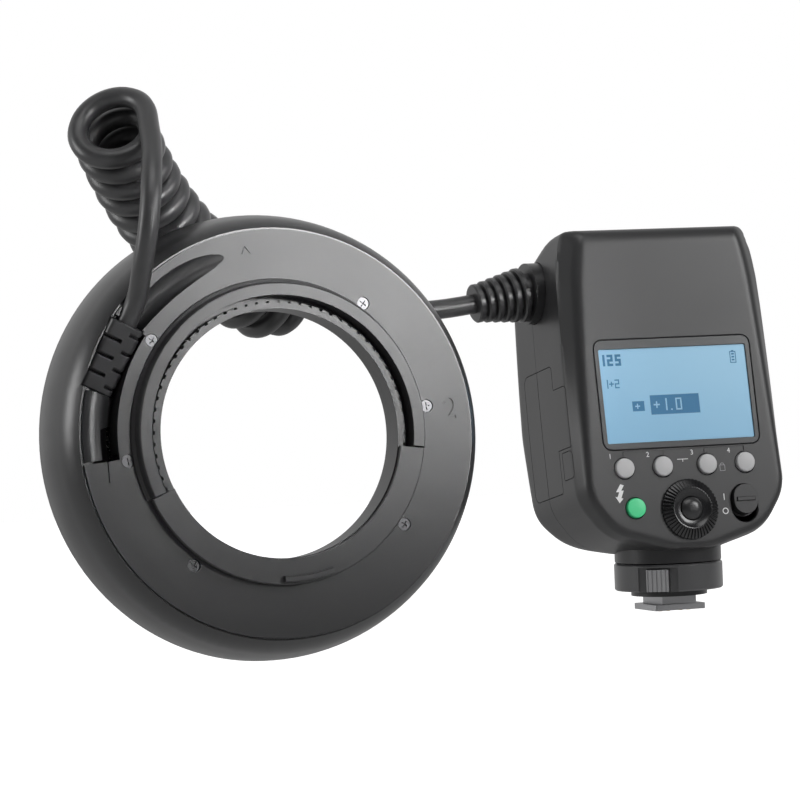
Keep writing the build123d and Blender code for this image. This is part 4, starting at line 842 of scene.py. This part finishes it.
# %% [markdown]
# The controller's body is one soft convex form: flat display face, slanted cheeks, a bowl-shaped bottom and
# a humped back, with every edge melted into the next. Such a form is awkward to model by hand, so it is
# written as a field. Each flat side is a signed distance, and a soft maximum joins two sides with a blend as
# wide as wanted. The surface is where the field is zero, and a ray from the middle finds it, because the
# body is convex. The same field, sunk by the wall, gives the hollow inside.


# %% Body field
def soft_max(first, second, blend):
    """Greater of two fields, plus the square of (blend - difference) over four blends where they are near."""
    overlap = np.maximum(blend - np.abs(first - second), 0)
    return np.maximum(first, second) + overlap**2 / (4 * blend)


def side_of(start, stop, x, y):
    """Signed distance from the line through two points, positive on its right."""
    way = unit(np.subtract(stop, start))
    return way[1] * (x - start[0]) - way[0] * (y - start[1])


cheek_depth = 6.0
body_top_climb = face_climb(130.0)
bowl_face = [(9.0, 22.6), (27.5, 28.3), (36.0, 41.0)]
bowl_body = [(10.0, 22.0), (29.0, 27.5), (38.0, 40.0)]
side_climbs = [41.0, 93.4, 119.0]
side_curve_face = np.polyfit(side_climbs, [36.0, 33.2, 31.4], 2)
side_curve_body = np.polyfit(side_climbs, [38.0, 37.72, 36.9], 2)
top_corner_face = [(31.4, 119.8), (28.5, 132.0)]
top_corner_body = [(37.2, 119.4), (33.5, 132.0)]
bottom_line = [(-21.6, 21.3), (24.0, 16.4)]
rear_corner_centre = np.array((9.84, 38.03))
rear_corner_radius = 20.0
rear_corner_ways = ways_at(np.radians([-70, -44]))
rear_line = [(24.0, 16.4), (37.0, 58.0), (43.0, 108.0), (15.0, 130.0)]
bowl_blends = [0.9, 4.0]
side_blend = 3.0
top_corner_blend = 1.8
crown_blend = 6.0
front_blend = 2.2
rear_line_blends = [0.6, 5.0]
rear_corner_blend = 2.0
rear_blend = 5.5


def body_field(x, climb, depth):
    """Signed distance, roughly, from the body's skin; x, climb and depth are face coordinates."""
    x = np.abs(x)
    world = face_place(x, climb, depth)
    back_way, height = world[..., 1], world[..., 2]
    share = np.clip(depth / cheek_depth, 0, 1)

    def between(face_value, body_value):
        return face_value + (body_value - face_value) * share

    around = side_of(*bottom_line, back_way, height)
    for index, blend in enumerate(bowl_blends):
        face_slope = side_of(bowl_face[index], bowl_face[index + 1], x, climb)
        body_slope = side_of(bowl_body[index], bowl_body[index + 1], x, climb)
        around = soft_max(around, between(face_slope, body_slope), blend)
    side = x - between(np.polyval(side_curve_face, climb), np.polyval(side_curve_body, climb))
    around = soft_max(around, side, side_blend)
    corner = between(side_of(*top_corner_face, x, climb), side_of(*top_corner_body, x, climb))
    around = soft_max(around, corner, top_corner_blend)
    front_top = soft_max(climb - body_top_climb, -depth, crown_blend)
    shell = soft_max(around, front_top, front_blend)
    rear = side_of(rear_line[0], rear_line[1], back_way, height)
    for index, blend in enumerate(rear_line_blends, start=1):
        rear = soft_max(rear, side_of(rear_line[index], rear_line[index + 1], back_way, height), blend)
    for way in rear_corner_ways:
        reach = way @ rear_corner_centre + rear_corner_radius
        rear = soft_max(rear, way[0] * back_way + way[1] * height - reach, rear_corner_blend)
    return soft_max(shell, rear, rear_blend)


print("field in the body's middle:", round(float(body_field(0, 77, 25)), 1), "mm")

# %% [markdown]
# A grid on the six sides of a box sends one ray from the middle through each of its points. Each ray is
# halved again and again towards the place where the field is zero, for all rays at once, and neighbouring
# rays make even quads. The outer skin is fine and the inner one, which nothing shows, is coarse.

# %% Body skin
body_middle = np.array((0.0, 77.0, 25.0))
body_half = np.array((38.2, 56.0, 26.0))
search_steps = 36


def skin_points(spacing, inset):
    """Points and quads of the skin at this inset: rays through a grid on a box, halved to the zero."""
    clouds = []
    quads = []
    total = 0
    for fixed in range(3):
        first, second = [axis for axis in range(3) if axis != fixed]
        first_count, second_count = [round(2 * body_half[axis] / spacing) for axis in (first, second)]
        for sign in (-1, 1):
            grid = np.zeros((first_count + 1, second_count + 1, 3))
            grid[..., fixed] = sign * body_half[fixed]
            grid[..., first] = np.linspace(-1, 1, first_count + 1)[:, None] * body_half[first]
            grid[..., second] = np.linspace(-1, 1, second_count + 1)[None, :] * body_half[second]
            rays = grid.reshape(-1, 3)
            low = np.zeros(len(rays))
            high = np.full(len(rays), 1.5)
            for _ in range(search_steps):
                middle = (low + high) / 2
                x, climb, depth = (body_middle + rays * middle[:, None]).T
                inside = body_field(x, climb, depth) < -inset
                low = np.where(inside, middle, low)
                high = np.where(inside, high, middle)
            x, climb, depth = (body_middle + rays * low[:, None]).T
            clouds.append(face_place(x, climb, depth))
            quads.append(grid_faces(first_count + 1, second_count + 1, wrap_columns=False) + total)
            total += len(rays)
    return np.vstack(clouds), np.vstack(quads)


wall = 2.0
outer_points, outer_quads = skin_points(0.95, 0.0)
inner_points, inner_quads = skin_points(2.4, wall)
print("body skin:", len(outer_quads), "outer quads and", len(inner_quads), "inner ones")

# %% [markdown]
# The body then gets its openings. The places on the face are the same values as in the part's source. The
# display's frame is let in flush, the four grey keys stand in a row under it, and the dial, the green key and
# the slide switch fill the bowl. A fine line with a tick down to each key is engraved under the display.

# %% Controller body with its openings
window = rectangle(-28.75, face_climb(55.3), 28.75, face_climb(92.0), 3.0)
window_gap = 0.12
window_depth = 1.5
menu_sideways = [-22.2, -8.14, 8.14, 22.2]
menu_climb = face_climb(49.05)
menu_radius = 3.35
test_place = (-19.6, face_climb(35.7))
test_radius = 3.3
dial_climb = face_climb(34.4)
dial_hole_radius = 6.1
switch_place = (20.4, face_climb(35.4))
switch_size = (9.4, 12.8)
parting_depth = 29.5
parting_gap = 0.08
far = 60.0
cap_inner = -34.6
cap_shape = [(5.8, 57.9, 0.6), (16.3, 57.9, 0.0), (16.3, 43.7, 1.2), (41.1, 43.7, 3.0)]
cap_shape += [(41.1, 86.8, 3.0), (16.3, 86.8, 1.8), (16.3, 78.6, 0.6), (5.8, 78.6, 1.8)]
latch_shape = [(5.6, 47.6, 1.8), (14.2, 47.6, 0.8), (14.2, 57.0, 0.8), (5.6, 57.0, 1.8)]
plug_boss_radius = 10.4
plug_boss_centre = np.array((-34.6, 20.3, 108.6))
foot_hole_radius = 11.4
hole_start, hole_end = -5, 6
hole_gap = 0.2
hole_flare = 0.3
line_climb = 55.3
line_half = 0.16
line_depth = 0.22
line_reach = 22.4
tick_reach = 1.5
tick_shift = 0.6


def side_outline(corners):
    """Outline on the side wall from corners of depth, height and radius."""
    return rounded([(depth, face_climb(height), radius) for depth, height, radius in corners])


cap_outline = side_outline(cap_shape)
latch_outline = side_outline(latch_shape)
body_skin = loose("body_skin", outer_points, outer_quads)
boolean(body_skin, loose("hollow", inner_points, inner_quads))
holes = [cutter(inset_outline(window, -window_gap), hole_start, window_depth, flare=0.25)]
round_keys = [(sideways, menu_climb, menu_radius) for sideways in menu_sideways]
for sideways, climb, radius in [*round_keys, (*test_place, test_radius)]:
    outline = circle(sideways, climb, radius + hole_gap)
    holes.append(cutter(outline, hole_start, hole_end, flare=hole_flare))
holes.append(cutter(circle(0, dial_climb, dial_hole_radius), hole_start, hole_end))
holes.append(cutter(stadium(*switch_place, *switch_size), hole_start, hole_end, flare=hole_flare))
holes.append(cutter(cap_outline, -far, -33.0, side_place))
holes.append(cutter(latch_outline, -far, cap_inner, side_place))
holes.append(bar_cutter(plug_boss_centre + (4.0, 0, 0), (-1.0, 0, 0), plug_boss_radius + hole_gap, 20))
holes.append(bar_cutter((0, 0, 10), (0, 0, 1.0), foot_hole_radius, 16))
boolean(body_skin, joined(holes))
line = rectangle(-line_reach, line_climb - line_half, line_reach, line_climb + line_half, 0.1, 2)
boolean(body_skin, cutter(line, -1, line_depth))
ticks = []
for sideways in menu_sideways:
    side = sideways + (0.0 if abs(sideways) > 10 else -copysign(tick_shift, sideways))
    tick = rectangle(side - line_half, line_climb - tick_reach, side + line_half, line_climb, 0.1, 2)
    ticks.append(cutter(tick, -1, line_depth + 0.02))
boolean(body_skin, joined(ticks))
front_half = add_object("front_half", body_skin.data.copy())
half_box = rectangle(-far, -far, far, 3 * far, 1.0, 1)
boolean(front_half, cutter(half_box, -far, parting_depth - parting_gap), "INTERSECT")
boolean(body_skin, cutter(half_box, parting_depth + parting_gap, 2 * far), "INTERSECT")
settle(front_half, "front_housing", body_plastic)
settle(body_skin, "rear_housing", body_plastic)
print("housing:", len(front_half.data.polygons), "and", len(body_skin.data.polygons), "faces")

# %% [markdown]
# The battery cap and its latch key are flush with the wall, so they are the body itself seen through their
# outlines: the same solid, kept only inside a prism a hair smaller than the hole. The body's parting line
# runs on across the cap as a fine groove.

# %% Battery cap and latch
cap_gap = 0.25
groove_width = 0.3
groove_floor = -37.75
latch_inner = -35.2
pack_end = 22.0
battery_skin = loose("battery_skin", outer_points, outer_quads)
boolean(battery_skin, cutter(inset_outline(cap_outline, cap_gap), -far, cap_inner, side_place), "INTERSECT")
groove_start = parting_depth - groove_width
groove = np.array([(groove_start, 20), (parting_depth, 20), (parting_depth, 110), (groove_start, 110)])
boolean(battery_skin, cutter(groove, -far, groove_floor, side_place))
pack_outline = rectangle(16.65, face_climb(43.7) + cap_gap, 40.75, face_climb(86.8) - cap_gap, 1.0)
battery_skin = joined([battery_skin, cutter(pack_outline, cap_inner, pack_end, side_place)])
settle(battery_skin, "battery_pack", body_plastic)
latch_skin = loose("latch_skin", outer_points, outer_quads)
boolean(latch_skin, cutter(inset_outline(latch_outline, cap_gap), -far, latch_inner, side_place), "INTERSECT")
settle(latch_skin, "battery_latch", body_plastic)
print("battery cap:", len(battery_skin.data.polygons), "faces, latch:", len(latch_skin.data.polygons))

# %% [markdown]
# The keys are round caps with a soft edge, on a flange that holds them in the wall. The big dial has fine
# teeth on its sloping rim and a smooth dish inside them, and a domed button in its middle. A tooth is a
# square wave of the angle, softened, that sinks the sloping part of the profile and leaves the rest round.


# %% Keys, dial and its button
def key(node, sideways, climb, radius, finish):
    """Key turned from its profile: cap, flange and stem, with depth counted inwards from the face."""
    cap = [(0, -1.2, 0), (radius, -1.2, 0.45), (radius, 2.1, 0)]
    flange = [(4.3, 2.1, 0.1), (4.3, 3.1, 0.1), (1.5, 3.1, 0)]
    stem = [(1.5, 7.7, 0.2), (0, 7.7, 0)]
    place = spun(face_place(sideways, climb, 0), across, inward)
    turned(node + "_cap", rounded(cap + flange + stem), place, finish, node)


for number, sideways in enumerate(menu_sideways, start=1):
    key("menu_button_" + str(number), sideways, menu_climb, menu_radius, grey_key)
key("test_button", *test_place, test_radius, green_key)

dial_place = spun(face_place(0, dial_climb, 0), across, inward)
tooth_count = 48
points_per_tooth = 10
tooth_depth = 0.62
tooth_floor = -0.15
dial_profile = np.array(
    [(3.95, 1.2, 0), (3.95, -1.35, 0), (4.15, -1.62, 0), (5.0, -1.75, 0), (5.8, -2.05, 0), (6.4, -2.42, 0)]
    + [(6.65, -2.55, 0), (6.95, -2.58, 0), (7.2, -2.52, 0.6), (7.5, -2.4, 1), (8.4, -2.0, 1), (9.3, -1.55, 1)]
    + [(9.9, -1.2, 1), (10.15, -0.95, 0.8), (10.25, -0.6, 0.5), (10.25, -0.15, 0.4), (6.0, -0.15, 0)]
    + [(6.0, 2.1, 0), (7.2, 2.1, 0), (7.2, 3.1, 0), (4.9, 3.1, 0), (4.9, 1.2, 0)]
)
dial_angles = np.arange(tooth_count * points_per_tooth) * 360 / (tooth_count * points_per_tooth)
tooth_wave = np.clip(0.5 + 1.5 * np.cos(np.radians(dial_angles * tooth_count)), 0, 1)[:, None]
tooth_cut = tooth_wave * dial_profile[:, 2] * tooth_depth
dial_radius = dial_profile[:, 0] - tooth_cut * 0.45
dial_depth = dial_profile[:, 1] + tooth_cut * 0.85
dial_depth = np.minimum(dial_depth, np.maximum(dial_profile[:, 1], tooth_floor))
dial_turns = np.broadcast_to(dial_angles[:, None], dial_radius.shape)
dial_points = dial_place(dial_radius, dial_turns, dial_depth)
dial_faces = grid_faces(len(dial_angles), len(dial_profile), True)
add_piece("control_dial_body", dial_points, dial_faces, dial_plastic, "control_dial")

dome_radius = 3.8
dome_share = np.linspace(0, 1, 12)
dome = np.column_stack([dome_radius * dome_share, -3.3 + 1.3 * dome_share**3.2])
stem = np.array([(dome_radius, 1.4), (4.7, 1.4), (4.7, 2.4), (1.5, 2.4), (1.5, 7.7), (0, 7.7)])
turned("set_button_cap", np.vstack([dome, stem]), dial_place, set_plastic, "set_button")
print("dial:", len(dial_faces), "faces")

# %% [markdown]
# The display is a pale blue transflective panel behind a dark frame. Its colour carries painted light: a soft
# gradient on its own coordinates paints it lighter towards the top and the right and darker towards the lower
# corners. What it shows is generic: plain figures made of seven bars, an inverted field in the middle and a
# battery sign, all thin plates of ink.

# %% Display frame and panel
panel_low, panel_high = face_climb(57.4), face_climb(88.9)
panel_half = 27.06
panel_corner = 0.6
frame_edge = 0.2
frame_top = 0.02
hole_outline = rectangle(-panel_half, panel_low, panel_half, panel_high, panel_corner)
frame_levels = [
    (window, window_depth),
    (window, frame_edge + frame_top),
    (inset_outline(window, frame_edge), frame_top),
    (inset_outline(hole_outline, -0.12), frame_top),
    (hole_outline, 0.14),
    (hole_outline, window_depth),
]
frame_points = np.array([layer(outline, depth) for outline, depth in frame_levels])
frame_faces = grid_faces(len(frame_levels), len(window), True)
add_piece("display_frame", frame_points, frame_faces, bezel_plastic, "display_window")

lcd_finish = Finish("lcd_glass")
climb_share = lcd_finish.smooth(lcd_finish.axis("Z"), 0.057, 0.088)
side_share = lcd_finish.smooth(lcd_finish.axis("X"), -0.028, 0.028)
# Painted light: a shaded and a lit copy of one blue, lighter up the panel and to the right, with a little
# random tone.
painted_light_share = climb_share * 0.45 + side_share * 0.35 + lcd_finish.noise(0.03) * 0.2
lcd_colour = lcd_finish.mix(painted_light_share, (0.19, 0.43, 0.64), (0.30, 0.56, 0.76))
lcd_finish.set(Base_Color=lcd_colour, Roughness=0.4 + lcd_finish.noise(0.004) * 0.06)
panel_outline = rectangle(
    -panel_half + 0.01, panel_low + 0.01, panel_half - 0.01, panel_high - 0.01, panel_corner
)
lcd_depth = 0.45
lcd_back = 8.9
plates("lcd_face", [panel_outline], lcd_depth, lcd_back, lcd_finish.material, node="lcd_panel")
print("display frame:", len(frame_faces), "faces")

# %% [markdown]
# A figure lights some of seven bars, named a to g from the top round to the middle. A plus lights the middle
# bar and a short upright one, and a point is one small square. A line of them is one mesh of thin plates.

# %% Display figures
def bar(low_x, low_y, high_x, high_y):
    """Upright rectangle as an outline."""
    return np.array([(low_x, low_y), (high_x, low_y), (high_x, high_y), (low_x, high_y)], dtype=float)


def box_lines(low_x, low_y, high_x, high_y, line):
    """Four bars round a box: left, right, bottom and top."""
    sides = [bar(low_x, low_y, low_x + line, high_y), bar(high_x - line, low_y, high_x, high_y)]
    return sides + [bar(low_x, low_y, high_x, low_y + line), bar(low_x, high_y - line, high_x, high_y)]


lit_bars = {"0": "abcdef", "1": "bc", "2": "abged", "5": "afgcd", "+": "gv", ".": "p"}
figure_width_share = 0.55


def figure(sign, x, y, height, stroke):
    """Bars of one sign of a seven-bar display."""
    wide, half = height * figure_width_share, height / 2
    bars = {
        "a": bar(x, y + height - stroke, x + wide, y + height),
        "b": bar(x + wide - stroke, y + half, x + wide, y + height),
        "c": bar(x + wide - stroke, y, x + wide, y + half),
        "d": bar(x, y, x + wide, y + stroke),
        "e": bar(x, y, x + stroke, y + half),
        "f": bar(x, y + half, x + stroke, y + height),
        "g": bar(x, y + half - stroke / 2, x + wide, y + half + stroke / 2),
        "v": bar(x + (wide - stroke) / 2, y + half - wide / 2, x + (wide + stroke) / 2, y + half + wide / 2),
        "p": bar(x + wide / 2 - stroke / 2, y, x + wide / 2 + stroke / 2, y + stroke),
    }
    return [bars[letter] for letter in lit_bars[sign]]


def number_line(text, x, y, height, stroke):
    """Bars of a row of signs."""
    step = height * figure_width_share + stroke * 0.9
    outlines = []
    for index, sign in enumerate(text):
        outlines += figure(sign, x + index * step, y, height, stroke)
    return outlines


ink = number_line("125", -27.0, 84.6, 3.9, 0.85) + number_line("1+2", -26.2, 77.0, 3.0, 0.42)
ink.append(bar(-9.95, 67.5, 8.1, 74.1))
ink.append(bar(-16.6, 68.9, -12.2, 72.3))
battery_x, battery_y, battery_wide, battery_tall = 21.2, 83.9, 2.3, 4.0
battery_right, battery_top = battery_x + battery_wide, battery_y + battery_tall
ink += box_lines(battery_x, battery_y, battery_right, battery_top, 0.3)
ink.append(bar(battery_x + 0.7, battery_top, battery_x + 1.6, battery_top + 0.35))
for level_share in (0.2, 0.45, 0.7):
    low = battery_y + battery_tall * level_share
    ink.append(bar(battery_x + 0.65, low, battery_x + 1.65, low + 0.55))
plates("lcd_figures", ink, lcd_depth - 0.01, lcd_depth + 0.03, ink_paint, slot="lcd")
pale = number_line("+1.0", -8.8, 68.8, 4.1, 0.5) + figure("+", -15.6, 69.0, 3.2, 0.4)
plates("lcd_pale_figures", pale, lcd_depth - 0.02, lcd_depth + 0.01, pale_paint, slot="lcd")
print("display:", len(ink) + len(pale), "plates")

# %% [markdown]
# White prints tell what the keys do. Plain figures stand in for the words: one to four over the keys, a bar
# and an open circle beside the switch, and a bolt by the green key that fires a test flash. The print is a
# film two hundredths of a millimetre thick.


# %% Prints on the face
def band(x, y, radius, width, start=0.0, sweep=359.0, count=24):
    """Outline of a stripe of this width along an arc."""
    ways = ways_at(np.radians(start + sweep * np.linspace(0, 1, count)))
    return np.vstack([ways * (radius + width / 2), ways[::-1] * (radius - width / 2)]) + (x, y)


print_outside = -0.025
print_inside = 0.015
key_figure_places = {"1": -26.9, "2": -13.2, "3": 3.0, "4": 16.6}
print_items = [(text, 1.7, sideways, 54.0, 0) for text, sideways in key_figure_places.items()]
print_points, print_faces = lettering(print_items, face_place, print_outside, print_inside)
add_piece("key_figures", print_points, print_faces, white_paint, slot="body_plastic")
bolt = np.array([(0.3, 3.2), (-1.5, 0.6), (-0.4, 0.5), (-1.2, -1.2), (-1.9, -1.0), (-0.6, -3.2), (0.9, -1.7)])
bolt = np.vstack([bolt, [(0.2, -1.5), (1.3, 1.0), (0.4, 1.0), (1.5, 2.7)]]) + (-24.6, 41.4)
shapes = [bolt, band(13.1, 33.6, 0.95, 0.3), bar(12.95, 37.3, 13.25, 39.5)]
shapes += [bar(-2.6, 51.8, 1.4, 52.02), bar(-0.7, 51.0, -0.5, 51.9)]
plates("face_marks", shapes, print_outside, print_inside, white_paint, slot="body_plastic")
lock_x, lock_y = 13.7, 48.2
lock_left, lock_right, lock_low, lock_top = lock_x - 1.0, lock_x + 1.0, lock_y - 1.0, lock_y + 1.1
lock_shapes = [band(lock_x, lock_top, 0.6, 0.22, 0, 180, 12)]
lock_shapes += [bar(lock_left, lock_low, lock_right, lock_y - 0.8)]
lock_shapes += [bar(lock_left, lock_y - 0.8, lock_x - 0.8, lock_y + 0.9)]
lock_shapes += [bar(lock_x + 0.8, lock_y - 0.8, lock_right, lock_y + 0.9)]
lock_shapes += [bar(lock_left, lock_y + 0.9, lock_right, lock_top)]
plates("lock_mark", lock_shapes, print_outside, print_inside, line_paint, slot="body_plastic")
print("prints:", len(print_items), "figures and", len(shapes) + len(lock_shapes), "plates")

# %% [markdown]
# Light. A product studio has a white backdrop behind and beside the object and a darker room on the camera's
# side. The world is that room: the camera and glass see plain white everywhere, and reflections and soft
# light see white behind and a dim front. A square soft box to the right is the main light, a small narrow one
# draws the gradient across the ring's rear face, one above fills, and one at the left lights the rims. The
# floor is pale and well below the object, and it is dim near the object so that low sides stay dark.

# %% Light, floor and backdrop
world = bpy.data.worlds.new("studio")
scene.world = world
world.use_nodes = True
room = Shading(world.node_tree)
mirrored = room.ray("Glossy")
seen = room.ray("Camera")
white = seen.math("MAXIMUM", seen, room.ray("Transmission"))
direction = room.node("ShaderNodeTexCoord", output="Generated")
depth_way = room.node("ShaderNodeSeparateXYZ", inputs={"Vector": direction}, output="Y")
front_level = 0.10
backdrop = room.smooth(depth_way, -0.25, 0.55, front_level, 1.0)
level_seen = backdrop * (0.5 + mirrored * 0.3)
strength = white + (1 - white) * level_seen
background = room.nodes["Background"]
room.feed(background.inputs["Color"], (1, 1, 1, 1))
room.feed(background.inputs["Strength"], strength)


def soft_box(name, place, target, width, height, radiance, beam=180):
    """Area lamp that looks at a target; its power is its radiance times pi times its area."""
    lamp = bpy.data.lights.new(name, "AREA")
    lamp.shape = "RECTANGLE"
    lamp.size = width
    lamp.size_y = height
    lamp.energy = radiance * pi * width * height
    lamp.spread = radians(beam)
    holder = add_object(name, lamp)
    holder.location = place
    holder.rotation_euler = (Vector(target) - Vector(place)).to_track_quat("-Z", "Y").to_euler()
    holder.visible_camera = False


object_middle = (-0.08, -0.02, 0.08)
soft_box("right_box", (0.36, -0.42, 0.32), (0.0, -0.02, 0.08), 0.22, 0.22, 13.0)
soft_box("ring_box", (0.06, -0.52, 0.22), (-0.12, -0.06, 0.14), 0.16, 0.16, 1.0, beam=17)
soft_box("top_box", (-0.15, -0.45, 0.95), object_middle, 0.8, 0.5, 3.0)
soft_box("left_box", (-0.95, 0.15, 0.30), object_middle, 0.25, 0.4, 8.0)

floor_finish = Finish("pale_floor")
floor_seen = floor_finish.ray("Camera")
length = {"operation": "LENGTH"}
distance = floor_finish.node("ShaderNodeVectorMath", length, {0: floor_finish.place()}, output="Value")
far_share = floor_finish.smooth(distance, 0.5, 1.6, 0.15, 1.0)
shown = floor_seen.math("MAXIMUM", floor_finish.ray("Glossy") * 0.4, floor_finish.ray("Transmission"))
shown = floor_seen.math("MAXIMUM", floor_seen, shown)
glow = floor_finish.mix(far_share * shown, (0.0, 0.0, 0.0), (1.0, 1.0, 1.0))
floor_colour = floor_finish.mix(floor_finish.noise(0.4), (0.86, 0.86, 0.86), (0.84, 0.84, 0.84))
floor_finish.set(Base_Color=floor_colour, Roughness=0.8, Emission_Color=glow, Emission_Strength=1.0)
floor_height = -250.0
floor_reach = 6000.0
floor_points = np.array([(-1, -1, 0), (1, -1, 0), (1, 1, 0), (-1, 1, 0)]) * floor_reach + (0, 0, floor_height)
floor = add_piece("floor", floor_points, [range(4)], floor_finish.material, outward=False)
scene.view_settings.view_transform = "Standard"
print("lamps:", len(bpy.data.lights))
